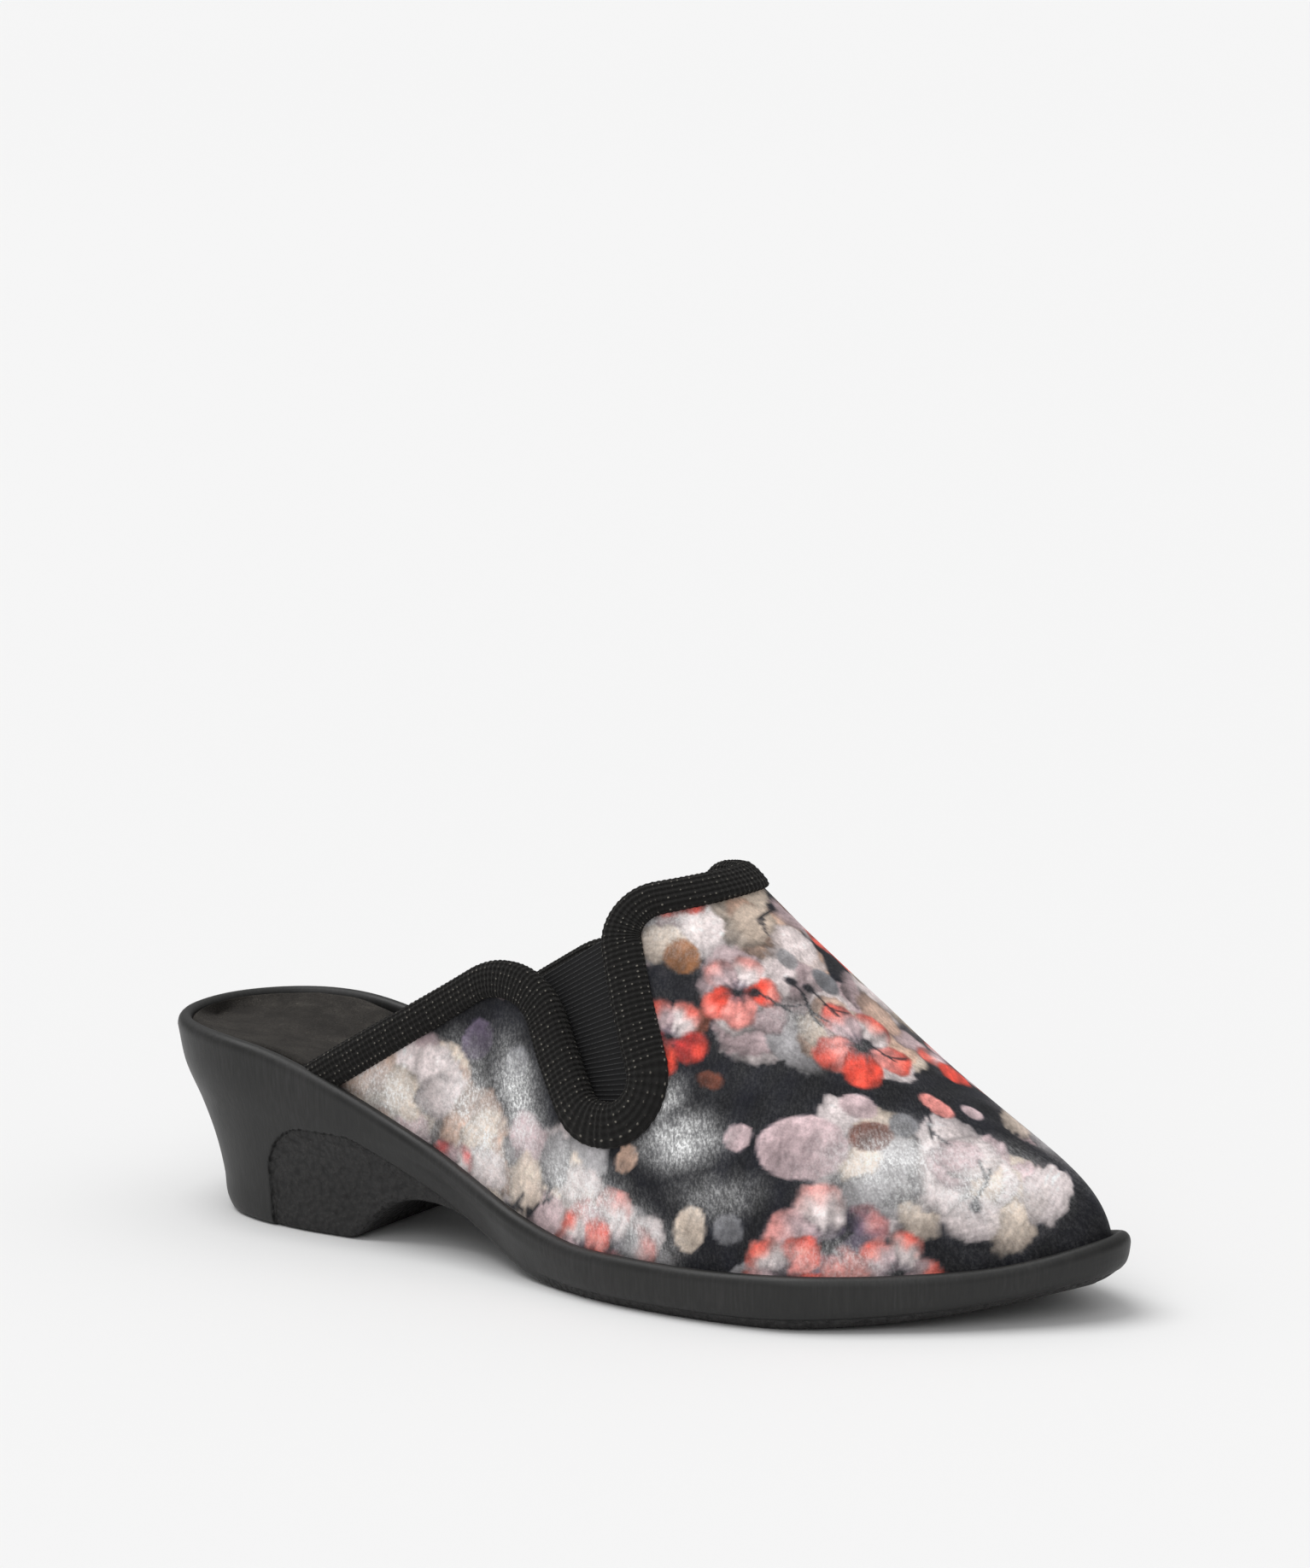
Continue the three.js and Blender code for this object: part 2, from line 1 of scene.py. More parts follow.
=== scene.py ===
"""Mule slipper, a woman's right shoe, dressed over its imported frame.

The sizes and tables below are the shoe's own, in millimetres: x from the heel's back to the toe, y to the
inner side, z up from the floor. Each piece is a surface of two parameters, or a section carried along the
collar, worked out as whole arrays and put into one mesh."""

import bpy
import numpy as np
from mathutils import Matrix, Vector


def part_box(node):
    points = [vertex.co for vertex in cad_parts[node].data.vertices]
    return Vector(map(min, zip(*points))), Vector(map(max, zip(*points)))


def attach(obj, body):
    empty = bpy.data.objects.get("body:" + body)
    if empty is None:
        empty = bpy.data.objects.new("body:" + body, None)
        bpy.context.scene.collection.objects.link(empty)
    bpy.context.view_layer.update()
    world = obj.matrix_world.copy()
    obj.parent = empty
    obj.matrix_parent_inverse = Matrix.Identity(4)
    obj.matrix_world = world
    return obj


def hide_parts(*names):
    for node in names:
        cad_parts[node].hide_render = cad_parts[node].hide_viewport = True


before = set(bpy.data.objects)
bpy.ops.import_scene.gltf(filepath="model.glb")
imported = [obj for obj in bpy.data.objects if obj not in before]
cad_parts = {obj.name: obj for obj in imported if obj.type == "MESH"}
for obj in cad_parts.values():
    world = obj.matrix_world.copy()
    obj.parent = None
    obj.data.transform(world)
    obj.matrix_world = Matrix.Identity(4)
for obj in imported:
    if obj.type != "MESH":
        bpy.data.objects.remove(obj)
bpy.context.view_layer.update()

# Driving dimensions
LENGTH = 250.0
BALL_WIDTH = 89.0
HEEL_HEIGHT = 47.6
FORE_HEIGHT = 12.3
INSTEP_HEIGHT = 100.0
ARCH_RISE = 11.9
TOE_SPRING = 9.0
HEEL_TAPER = 14.4
LIP_WIDTH = 3.5
RECESS_DEPTH = 7.0
PANEL_DEPTH = 0.7
WALL = 2.0
VELOUR = 1.2
GORE = 1.2
FELT = 4.0
TAPE_INSIDE = 1.2
GAP = 0.3
HEEL_CAP = 34.0
HEEL_POWER = 2.15
TOE_CAP = 62.0
TOE_LEAN = 38.0
LEAN_START = 0.6
UPRIGHT = 0.55
CROWN = 0.55
FOOT_ROUND = 1.2
METRE = 0.001


def table(names, *rows):
    """A curve's rows, as one array for each named column."""
    return dict(zip(names.split(), np.array(rows, float).T))


# Half-widths and centre line of the sole in plan, in shares of the ball width
PLAN = table("at outer inner axis",
    (0.00, 0.348, 0.348, 0), (0.18, 0.354, 0.354, 0), (0.34, 0.360, 0.348, 0),
    (0.46, 0.438, 0.371, 0), (0.56, 0.511, 0.427, 0), (0.66, 0.534, 0.466, 0),
    (0.75, 0.522, 0.472, 0.011), (0.86, 0.427, 0.404, 0.039), (1.00, 0.287, 0.287, 0.090))

# Rim: lift in shares of the heel's lift over the forefoot, fore in shares of the forefoot's height
RIM = table("at lift fore",
    (0.00, 1, 1), (0.08, 0.989, 1), (0.16, 0.915, 1), (0.24, 0.737, 1), (0.32, 0.510, 1),
    (0.40, 0.269, 1), (0.48, 0.076, 1), (0.56, 0, 1), (0.66, 0, 1), (0.76, 0, 1.057),
    (0.86, 0, 1.090), (0.94, 0, 1.236), (1.00, 0, 1.585))

# Underside: arch in shares of the arch's rise, spring in shares of the toe spring
UNDER = table("at arch spring",
    (0.000, 0, 0), (0.235, 0, 0), (0.250, 0.10, 0), (0.265, 0.42, 0), (0.285, 0.77, 0),
    (0.305, 0.95, 0), (0.330, 1, 0), (0.370, 0.87, 0), (0.410, 0.60, 0), (0.450, 0.25, 0),
    (0.480, 0.07, 0), (0.520, 0, 0), (0.720, 0, 0), (0.800, 0, 0.09), (0.880, 0, 0.32),
    (0.950, 0, 0.69), (1.000, 0, 1))

# How far the wall's foot lies inside its top, in shares of the heel's taper
TAPER = table("at inset",
    (0, 1), (0.10, 0.70), (0.20, 0.42), (0.35, 0.42), (0.48, 0.28), (0.60, 0.21), (0.85, 0.24), (1, 0.42))

# The wall's inset from its top down to its foot: hollow at the heel, upright and then bevelled at the
# forefoot; it turns from the one into the other between two shares of the length
PROFILE = table("at heel fore",
    (0, 0, 0), (0.2, 0.14, 0.03), (0.4, 0.43, 0.08), (0.6, 0.67, 0.20), (0.8, 0.83, 0.52),
    (0.93, 0.89, 0.83), (1, 1, 1))
PROFILE_TURN = (0.40, 0.60)

# Section of the lip: inset from the outline and drop below the rim, from the recess over the top
LIP = table("inset drop",
    (3.5, 4.6), (3.5, 2.4), (3.46, 1.3), (3.25, 0.7), (2.85, 0.25), (2.4, 0.05), (1.95, 0), (1.5, 0.06),
    (1.05, 0.25), (0.65, 0.6), (0.33, 1.05), (0.12, 1.6), (0.03, 2.1))
WALL_TOP = 2.6

# Top line of the vamp in shares of the instep height, and how far it lies to the inner side
RIDGE = table("at height aside",
    (0.00, 1.090, 0.022), (0.40, 1.090, 0.030), (0.48, 1.067, 0.034), (0.56, 1.002, 0.040),
    (0.66, 0.807, 0.047), (0.76, 0.599, 0.054), (0.86, 0.440, 0.063), (0.94, 0.320, 0.076),
    (1.00, 0.230, 0.090))

# Footbed: drop of its edge and dish of its middle in shares of the recess, draft of its side
FOOTBED = table("at drop dish draft",
    (0.00, 0.12, 0.45, 0), (0.20, 0.12, 0.45, 0), (0.40, 0.38, 0.15, 0.1), (0.60, 0.38, 0.10, 0.1),
    (0.85, 0.38, 0.10, 0.3), (1.00, 0.38, 0.10, 0.6))

# Collar as seen from the side: shares of the length, of the instep height on the outer and on the inner
# side, where the quarter is a little lower, and each corner's radius
COLLAR = table("at outer inner radius",
    (0.1720, 0.352, 0.322, 0), (0.4456, 0.775, 0.745, 20), (0.5400, 0.436, 0.436, 7),
    (0.6070, 0.440, 0.440, 7), (0.5128, 0.890, 0.890, 9), (0.6400, 0.950, 0.950, 0))

# Sunk panel on the heel's side: shares of the length and of the heel height
PANEL = table("at up radius", (0.150, -0.04, 0), (0.150, 0.55, 13), (0.255, 0.55, 12), (0.490, -0.04, 0))

# Corners of the elastic as seen from the side: rear and front of its lower and upper edge
GORE_LOW = ((0.516, 0.415), (0.612, 0.425))
GORE_HIGH = ((0.432, 0.668), (0.560, 0.885))


# Curves of the form

def curve(rows, key):
    """Cubic pieces through a column: level at its turns, and nowhere steeper than three times the
    chord on either side, so that the curve stays between its rows."""
    x, y = rows["at"], rows[key]
    width = np.diff(x)
    chord = np.diff(y) / width
    mean = (chord[:-1] * width[1:] + chord[1:] * width[:-1]) / (width[1:] + width[:-1])
    limit = 3 * np.minimum(abs(chord[:-1]), abs(chord[1:]))
    same_way = chord[:-1] * chord[1:] > 0
    inner = np.where(same_way, np.sign(chord[:-1]) * np.minimum(abs(mean), limit), 0)
    tangent = np.concatenate(([chord[0]], inner, [chord[-1]]))

    def at(share):
        t = np.clip(share, x[0], x[-1])
        i = np.clip(np.searchsorted(x, t) - 1, 0, len(x) - 2)
        u = (t - x[i]) / width[i]
        start = (1 + 2 * u) * (1 - u) ** 2 * y[i] + u * (1 - u) ** 2 * width[i] * tangent[i]
        return start + u * u * (3 - 2 * u) * y[i + 1] + u * u * (u - 1) * width[i] * tangent[i + 1]

    return at


def lengthwise(rows, key):
    """The same curve as a function of the place along the shoe in millimetres."""
    shape = curve(rows, key)
    return lambda x: shape(x / LENGTH)


outer_half = lengthwise(PLAN, "outer")
inner_half = lengthwise(PLAN, "inner")
axis = lengthwise(PLAN, "axis")
rim_lift = lengthwise(RIM, "lift")
rim_fore = lengthwise(RIM, "fore")
arch = lengthwise(UNDER, "arch")
spring = lengthwise(UNDER, "spring")
taper = lengthwise(TAPER, "inset")
heel_profile = curve(PROFILE, "heel")
fore_profile = curve(PROFILE, "fore")
ridge_height = lengthwise(RIDGE, "height")
ridge_aside = lengthwise(RIDGE, "aside")


def rim(x):
    """Height of the sole's upper edge."""
    return rim_lift(x) * (HEEL_HEIGHT - FORE_HEIGHT) + rim_fore(x) * FORE_HEIGHT


def bed(x):
    """Height of the recess's floor."""
    return rim(x) - RECESS_DEPTH


def under(x):
    """Height of the underside."""
    return arch(x) * ARCH_RISE + spring(x) * TOE_SPRING


def smooth(low, high, value):
    """Step from 0 to 1 between low and high, level at both ends."""
    t = np.clip((value - low) / (high - low), 0, 1)
    return t * t * (3 - 2 * t)


def edge(side, x):
    """Outline in plan: centre line plus the half-width times the round ends' powers of the distance."""
    heel = np.clip(1 - x / HEEL_CAP, 0, 1)
    toe = np.clip((x - LENGTH + TOE_CAP) / TOE_CAP, 0, 1)
    cap = (1 - heel**HEEL_POWER) ** (1 / HEEL_POWER) * np.sqrt(1 - toe**2)
    half = np.where(side > 0, inner_half(x), outer_half(x))
    return (axis(x) + side * half * cap) * BALL_WIDTH


def inset(side, x, distance):
    """The outline moved inwards along its normal; at the very ends it moves along the shoe."""
    step = LENGTH * 1e-6
    rise = edge(side, x + step) - edge(side, x - step)
    length = np.hypot(2 * step, rise)
    px = x + side * rise / length * distance
    py = edge(side, x) - side * 2 * step / length * distance
    at_heel, at_toe = x <= 0, x >= LENGTH
    px = np.where(at_heel, distance, np.where(at_toe, LENGTH - distance, px))
    py = np.where(at_heel, axis(0.0) * BALL_WIDTH, np.where(at_toe, axis(LENGTH) * BALL_WIDTH, py))
    return px, py


def face(x, across):
    """Outer face of the upper, across from -1 at the outer feather over 0 on the ridge to 1 at the
    inner one: a cubic Bezier curve that leaves the feather upright and meets the ridge level."""
    side = np.where(across > 0, 1.0, -1.0)
    t = (1 - abs(across))[..., None]
    px, py = inset(side, x, LIP_WIDTH + GAP)
    feather = np.stack([px, py, bed(x) + GAP], -1)
    lean = TOE_LEAN * smooth(LEAN_START * LENGTH, LENGTH, x)
    tx = x - lean
    top = np.stack([tx, ridge_aside(tx) * BALL_WIDTH, ridge_height(tx) * INSTEP_HEIGHT], -1)
    fall = (ridge_height(tx + GAP) - ridge_height(tx - GAP)) * INSTEP_HEIGHT / (2 * GAP)
    low = feather.copy()
    low[..., 2] += UPRIGHT * (top[..., 2] - feather[..., 2])
    high = top + CROWN * (feather - top)
    high[..., 2] = top[..., 2] + CROWN * fall * (feather[..., 0] - top[..., 0])
    return feather * (1 - t) ** 3 + low * 3 * t * (1 - t) ** 2 + high * 3 * t * t * (1 - t) + top * t**3


def unit(vectors):
    return vectors / np.linalg.norm(vectors, axis=-1, keepdims=True)


def face_frame(x, across):
    """Slopes of the face along both of its parameters, and its outward normal."""
    step = 1e-3
    along = (face(x + step, across) - face(x - step, across)) / (2 * step)
    over = (face(x, across + step) - face(x, across - step)) / (2 * step)
    return along, over, unit(np.cross(along, over))


def locate(side, x, z):
    """Parameters of the face's points that show at (x, z) from the side, by halving the height."""
    station = np.array(x, float)
    for _ in range(4):
        low, high = np.full_like(station, -0.1), np.ones_like(station)
        for _ in range(40):
            t = (low + high) / 2
            below = face(station, side * (1 - t))[..., 2] < z
            low, high = np.where(below, t, low), np.where(below, high, t)
        station = station + x - face(station, side * (1 - t))[..., 0]
    return station, side * (1 - t)


def walk(x, across, heading, distance):
    """Parameters reached by following the face from each place along a heading, in four equal steps."""
    steps = 4
    for _ in range(steps):
        along, over, normal = face_frame(x, across)
        heading = unit(heading - normal * (heading * normal).sum(-1, keepdims=True))
        aa, ab, bb = (along * along).sum(-1), (along * over).sum(-1), (over * over).sum(-1)
        ha, hb = (heading * along).sum(-1), (heading * over).sum(-1)
        scale = distance / steps / (aa * bb - ab * ab)
        x, across = x + (ha * bb - hb * ab) * scale, across + (hb * aa - ha * ab) * scale
    return x, across


def rounded(rows, height, key, fineness):
    """Outline from corners in the side view, each rounded by an arc of its own radius."""
    corners = np.stack([rows["at"] * LENGTH, rows[key] * height], -1)
    points = [corners[:1]]
    for before, corner, after, radius in zip(corners, corners[1:], corners[2:], rows["radius"][1:]):
        back, ahead = unit(before - corner), unit(after - corner)
        half = np.arccos(back @ ahead) / 2
        centre = corner + unit(back + ahead) * radius / np.sin(half)
        start, end = (corner + way * radius / np.tan(half) - centre for way in (back, ahead))
        turn = np.arctan2(start[0] * end[1] - start[1] * end[0], start @ end)
        angle = np.linspace(0, turn, fineness)
        spun = np.stack([start[0] * np.cos(angle) - start[1] * np.sin(angle),
                         start[0] * np.sin(angle) + start[1] * np.cos(angle)], -1)
        points.append(centre + spun)
    points.append(corners[-1:])
    return np.concatenate(points)


def evenly(points, spacing, *columns):
    """Columns that go with a polyline's points, resampled at an even spacing along it."""
    length = np.concatenate(([0], np.cumsum(np.linalg.norm(np.diff(points, axis=0), axis=1))))
    at = np.linspace(0, length[-1], int(round(length[-1] / spacing)) + 1)
    return [np.interp(at, length, column) for column in columns]


def crest(outline):
    """Where the tongue's top edge meets the ridge: its last straight cut off by halving."""
    start, end = outline[-2:]
    low, high = 0.0, 1.0
    for _ in range(40):
        middle = (low + high) / 2
        x, z = start + (end - start) * middle
        if z < ridge_height(x) * INSTEP_HEIGHT:
            low = middle
        else:
            high = middle
    return start + (end - start) * low


def collar_side(side):
    """Parameters of one side's collar from its rear foot up to the ridge; over the last straight the
    steps shrink with the square of the distance that is left."""
    outline = rounded(COLLAR, INSTEP_HEIGHT, "outer" if side < 0 else "inner", 16)
    top, start = crest(outline), outline[-2]
    seen_x, seen_z = evenly(outline[:-1], 0.5, *outline[:-1].T)
    close = 1 - (1 - np.linspace(0, 1, 60)[1:-1]) ** 2
    seen_x = np.concatenate((seen_x, start[0] + (top[0] - start[0]) * close))
    seen_z = np.concatenate((seen_z, start[1] + (top[1] - start[1]) * close))
    return locate(side, seen_x, seen_z)


def collar_line(spacing):
    """Collar on the face, from the outer rear foot over the tongue to the inner rear foot."""
    outer_x, outer_across = collar_side(-1.0)
    inner_x, inner_across = collar_side(1.0)
    top = crest(rounded(COLLAR, INSTEP_HEIGHT, "outer", 16))
    x = np.concatenate((outer_x, [top[0]], inner_x[::-1]))
    across = np.concatenate((outer_across, [0.0], inner_across[::-1]))
    return evenly(face(x, across), spacing, x, across)


# Placing in the row frame: the sole's box gives the shift from the heel's back to the frame's origin
station_line = np.linspace(0, LENGTH, 4001)
corner = np.array(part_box("sole")[0]) / METRE
SHIFT = corner - np.array([0, edge(-1.0, station_line).min(), 0])


# Meshes

def piece(name, points, faces, material, layers=None, closed=True, replaces=None):
    """One object from points in millimetres and faces of four corners. Corners that share a place
    become one, a face keeps each corner once, and a closed surface is turned outwards."""
    points = points.reshape(-1, 3)
    _, first, same = np.unique(np.round(points, 4), axis=0, return_index=True, return_inverse=True)
    points, faces = points[first], same.reshape(-1)[faces]
    if closed:
        a, b, c, d = (points[faces[:, i]] for i in range(4))
        volume = (a * np.cross(b, c)).sum() + (a * np.cross(c, d)).sum()
        faces = faces[:, ::-1] if volume < 0 else faces
    doubled = faces == np.roll(faces, -1, axis=1)
    whole = faces[~doubled.any(1)]
    folded = doubled.sum(1) == 1
    corners = faces[folded][~doubled[folded]].reshape(-1, 3)
    mesh = bpy.data.meshes.new(name)
    mesh.from_pydata(((points + SHIFT) * METRE).tolist(), [], whole.tolist() + corners.tolist())
    for layer, values in (layers or {}).items():
        values = np.asarray(values, float).reshape(-1, values.shape[-1])[first]
        kind, field = {1: ("FLOAT", "value"), 3: ("FLOAT_VECTOR", "vector")}[values.shape[-1]]
        mesh.attributes.new(layer, kind, "POINT").data.foreach_set(field, values.ravel())
    mesh.validate()
    mesh.shade_smooth()
    mesh.materials.append(material)
    made = bpy.data.objects.new(name, mesh)
    bpy.context.collection.objects.link(made)
    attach(made, "root")
    if replaces:
        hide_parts(*replaces)
    return made


def grid_faces(rows, columns, round_columns=False):
    """Faces between neighbouring rows and columns of a grid; the last column may join the first."""
    i = np.arange(rows - 1)[:, None]
    j = np.arange(columns if round_columns else columns - 1)[None, :]
    k = (j + 1) % columns
    corners = (i * columns + j, (i + 1) * columns + j, (i + 1) * columns + k, i * columns + k)
    return np.stack(np.broadcast_arrays(*corners), -1).reshape(-1, 4)


def thicken(made, thickness):
    """Gives a sheet its thickness towards its inside."""
    solid = made.modifiers.new("thickness", "SOLIDIFY")
    solid.thickness = thickness * METRE
    solid.offset = -1
    solid.use_even_offset = False


def wobble(points, size, seed):
    """Smooth unevenness between -1 and 1: a sum of sines in seeded directions, as long as size."""
    random = np.random.default_rng(seed)
    waves = random.normal(size=(7, 3)) * 2 * np.pi / size / 1.7
    phase = random.uniform(0, 2 * np.pi, 7)
    return np.sin(points @ waves.T + phase).sum(-1) / 4


# Colour and materials

def linear(code):
    """sRGB, as a hex string or as values from 0 to 1, to linear light."""
    if isinstance(code, str):
        code = [int(code[i : i + 2], 16) / 255 for i in (1, 3, 5)]
    code = np.clip(np.asarray(code, float), 0, 1)
    return np.where(code <= 0.04045, code / 12.92, ((code + 0.055) / 1.055) ** 2.4)


def paint(code):
    return (*linear(code), 1.0)


def add(tree, kind, inputs=None, ramp=None, **settings):
    """Adds a node; inputs gives each socket a value or another node's output, ramp a colour ramp's stops."""
    made = tree.nodes.new("ShaderNode" + kind)
    for name, value in settings.items():
        setattr(made, name, value)
    for socket, value in (inputs or {}).items():
        if isinstance(value, bpy.types.NodeSocket):
            tree.links.new(value, made.inputs[socket])
        else:
            made.inputs[socket].default_value = value
    if ramp:
        elements = made.color_ramp.elements
        while len(elements) < len(ramp):
            elements.new(0.5)
        for element, (place, code) in zip(elements, ramp):
            element.position = place
            element.color = paint(code)
    return made


def finish(name, **principled):
    """A material with its shader; a keyword is a socket's name with _ for a space."""
    material = bpy.data.materials.new(name)
    material.use_nodes = True
    shader = material.node_tree.nodes["Principled BSDF"]
    for socket, value in principled.items():
        shader.inputs[socket.replace("_", " ")].default_value = value
    return material, material.node_tree, shader


def sole_material():
    """Moulded thermoplastic rubber, charcoal, satin from the mould: brushed streaks down its wall, and
    pebble grain 1.3 mm wide where the mould is textured, which gives it a duller, speckled look. The
    grain's colour darkens into its crevices, and a near-black line runs along the edges of the grained
    areas: both are painted shade."""
    material, tree, shader = finish("moulded rubber sole", IOR=1.5, Specular_IOR_Level=0.45)
    place = add(tree, "TexCoord").outputs["Object"]
    grain = add(tree, "Attribute", attribute_name="grain").outputs["Fac"]
    stretched = add(tree, "Mapping", {"Vector": place, "Scale": (1500, 1500, 90)}).outputs[0]
    streaks = add(tree, "TexNoise", {"Vector": stretched, "Scale": 1.0, "Detail": 5.0}).outputs["Fac"]
    cloudy = add(tree, "TexNoise", {"Vector": place, "Scale": 60.0, "Detail": 4.0}).outputs["Fac"]
    pebble = add(tree, "TexVoronoi", {"Vector": place, "Scale": 780.0, "Randomness": 1.0}, feature="SMOOTH_F1")
    pebbles = pebble.outputs["Distance"]
    speck = add(tree, "TexNoise", {"Vector": place, "Scale": 2600.0, "Detail": 2.0}).outputs["Fac"]
    mixed = add(tree, "Mix", {"Factor": 0.45, 2: cloudy, 3: streaks}).outputs[0]
    tone = add(tree, "ValToRGB", {"Fac": mixed},
        ramp=[(0.30, "#131313"), (0.5, "#1c1c1b"), (0.68, "#2b2a2a")]).outputs["Color"]
    # Painted shade: the pebbles' colour goes from charcoal on their crowns to near-black in their crevices.
    pebble_tone_and_shade = add(tree, "ValToRGB", {"Fac": pebbles}, ramp=[(0.15, "#2a2928"), (0.5, "#1f1e1e"), (0.8, "#090909")])
    textured = add(tree, "Mix", {0: grain, 6: tone, 7: pebble_tone_and_shade.outputs["Color"]}, data_type="RGBA").outputs[2]
    # Painted shade: a near-black line along the edges of the grained areas, where the grain mask is half way between 0
    # and 1.
    rest = add(tree, "Math", {0: 1.0, 1: grain}, operation="SUBTRACT").outputs[0]
    half_way = add(tree, "Math", {0: grain, 1: rest}, operation="MULTIPLY").outputs[0]
    crease = add(tree, "MapRange", {"Value": half_way, "From Min": 0.05, "From Max": 0.2, "To Max": 0.8}).outputs[0]
    colour = add(tree, "Mix", {0: crease, 6: textured, 7: paint("#0c0c0c")}, data_type="RGBA").outputs[2]
    tree.links.new(colour, shader.inputs["Base Color"])
    rough = add(tree, "MapRange", {"Value": cloudy, "From Min": 0.3, "From Max": 0.7, "To Min": 0.40, "To Max": 0.56})
    rougher = add(tree, "Math", {0: grain, 1: 0.12, 2: rough.outputs[0]}, operation="MULTIPLY_ADD")
    tree.links.new(rougher.outputs[0], shader.inputs["Roughness"])
    fine = add(tree, "Bump", {"Strength": 0.35, "Distance": 0.00012, "Height": streaks}).outputs[0]
    specks = add(tree, "Bump", {"Strength": 0.25, "Distance": 0.0001, "Height": speck, "Normal": fine}).outputs[0]
    depth = add(tree, "Math", {0: pebbles, 1: grain}, operation="MULTIPLY").outputs[0]
    bumps = add(tree, "Bump", {"Strength": 1.0, "Distance": 0.0012, "Height": depth, "Normal": specks},
        invert=True).outputs[0]
    tree.links.new(bumps, shader.inputs["Normal"])
    return material


def felt_material():
    """Needled felt, almost black: matted fibres a few millimetres long, a matt nap with paler flecks."""
    material, tree, shader = finish("needled felt", Roughness=1.0, IOR=1.4, Sheen_Weight=0.25,
        Sheen_Roughness=0.6, Specular_IOR_Level=0.2)
    shader.inputs["Sheen Tint"].default_value = paint("#8a8580")
    place = add(tree, "TexCoord").outputs["Object"]
    fibres = add(tree, "TexNoise", {"Vector": place, "Scale": 1500.0, "Detail": 6.0, "Distortion": 2.5})
    patches = add(tree, "TexNoise", {"Vector": place, "Scale": 150.0, "Detail": 4.0})
    mixed = add(tree, "Mix", {"Factor": 0.35, 2: fibres.outputs["Fac"], 3: patches.outputs["Fac"]}).outputs[0]
    tone = add(tree, "ValToRGB", {"Fac": mixed},
        ramp=[(0.32, "#1a1918"), (0.5, "#2a2826"), (0.62, "#423f3b"), (0.74, "#6a665f")]).outputs["Color"]
    tree.links.new(tone, shader.inputs["Base Color"])
    nap = add(tree, "Bump", {"Strength": 0.8, "Distance": 0.0004, "Height": fibres.outputs["Fac"]}).outputs[0]
    tree.links.new(nap, shader.inputs["Normal"])
    return material


def velour_material():
    """Printed velour with its pile pressed flat in patches: the pile takes the dye unevenly, and where it
    lies flat white is mixed into its colour with sparkling grains, a painted highlight, while its roughness
    drops; it shows the ground's fine diagonal rib, 0.9 mm apart."""
    material, tree, shader = finish("printed velour", Roughness=0.62, IOR=1.45, Sheen_Weight=0.05,
        Sheen_Roughness=0.35, Specular_IOR_Level=0.15)
    shader.inputs["Sheen Tint"].default_value = paint("#d6d8e0")
    place = add(tree, "TexCoord").outputs["Object"]
    dye = add(tree, "Attribute", attribute_name="dye").outputs["Color"]
    painted_sheen = add(tree, "Attribute", attribute_name="painted_sheen").outputs["Fac"]
    cloth = add(tree, "Attribute", attribute_name="cloth").outputs["Vector"]
    pile = add(tree, "TexNoise", {"Vector": place, "Scale": 1900.0, "Detail": 3.0}).outputs["Fac"]
    soft = add(tree, "TexNoise", {"Vector": place, "Scale": 420.0, "Detail": 5.0, "Distortion": 1.0}).outputs["Fac"]
    mixed = add(tree, "Mix", {"Factor": 0.55, 2: pile, 3: soft}).outputs[0]
    shade = add(tree, "MapRange", {"Value": mixed, "From Min": 0.3, "From Max": 0.7, "To Min": 0.72, "To Max": 1.28})
    dyed = add(tree, "VectorMath", {0: dye, "Scale": shade.outputs[0]}, operation="SCALE").outputs[0]
    turned = add(tree, "Mapping", {"Vector": cloth, "Rotation": (0, 0, 0.35), "Scale": (0.80, 0.45, 1.0)}).outputs[0]
    rib = add(tree, "TexNoise", {"Vector": turned, "Scale": 1.6, "Detail": 5.0, "Roughness": 0.65}).outputs["Fac"]
    # Painted highlight: white mixed into the dyed colour where the pile lies flat, a soft base with sparkling grains.
    flecks = add(tree, "MapRange", {"Value": rib, "From Min": 0.40, "From Max": 0.60}).outputs[0]
    bright = add(tree, "MapRange", {"Value": pile, "From Min": 0.30, "From Max": 0.58}).outputs[0]
    sparkle = add(tree, "Math", {0: flecks, 1: bright}, operation="MULTIPLY").outputs[0]
    glow = add(tree, "Math", {0: sparkle, 1: 0.75, 2: 0.30}, operation="MULTIPLY_ADD").outputs[0]
    painted_shine = add(tree, "Math", {0: glow, 1: painted_sheen}, operation="MULTIPLY", use_clamp=True).outputs[0]
    colour = add(tree, "Mix", {0: painted_shine, 6: dyed, 7: paint("#ffffff")}, data_type="RGBA").outputs[2]
    tree.links.new(colour, shader.inputs["Base Color"])
    gloss = add(tree, "MapRange", {"Value": painted_shine, "To Min": 0.66, "To Max": 0.35}).outputs[0]
    tree.links.new(gloss, shader.inputs["Roughness"])
    woven = add(tree, "Bump", {"Strength": 0.35, "Distance": 0.0004, "Height": rib}).outputs[0]
    nap = add(tree, "Bump", {"Strength": 0.5, "Distance": 0.0003, "Height": pile, "Normal": woven}).outputs[0]
    tree.links.new(nap, shader.inputs["Normal"])
    return material


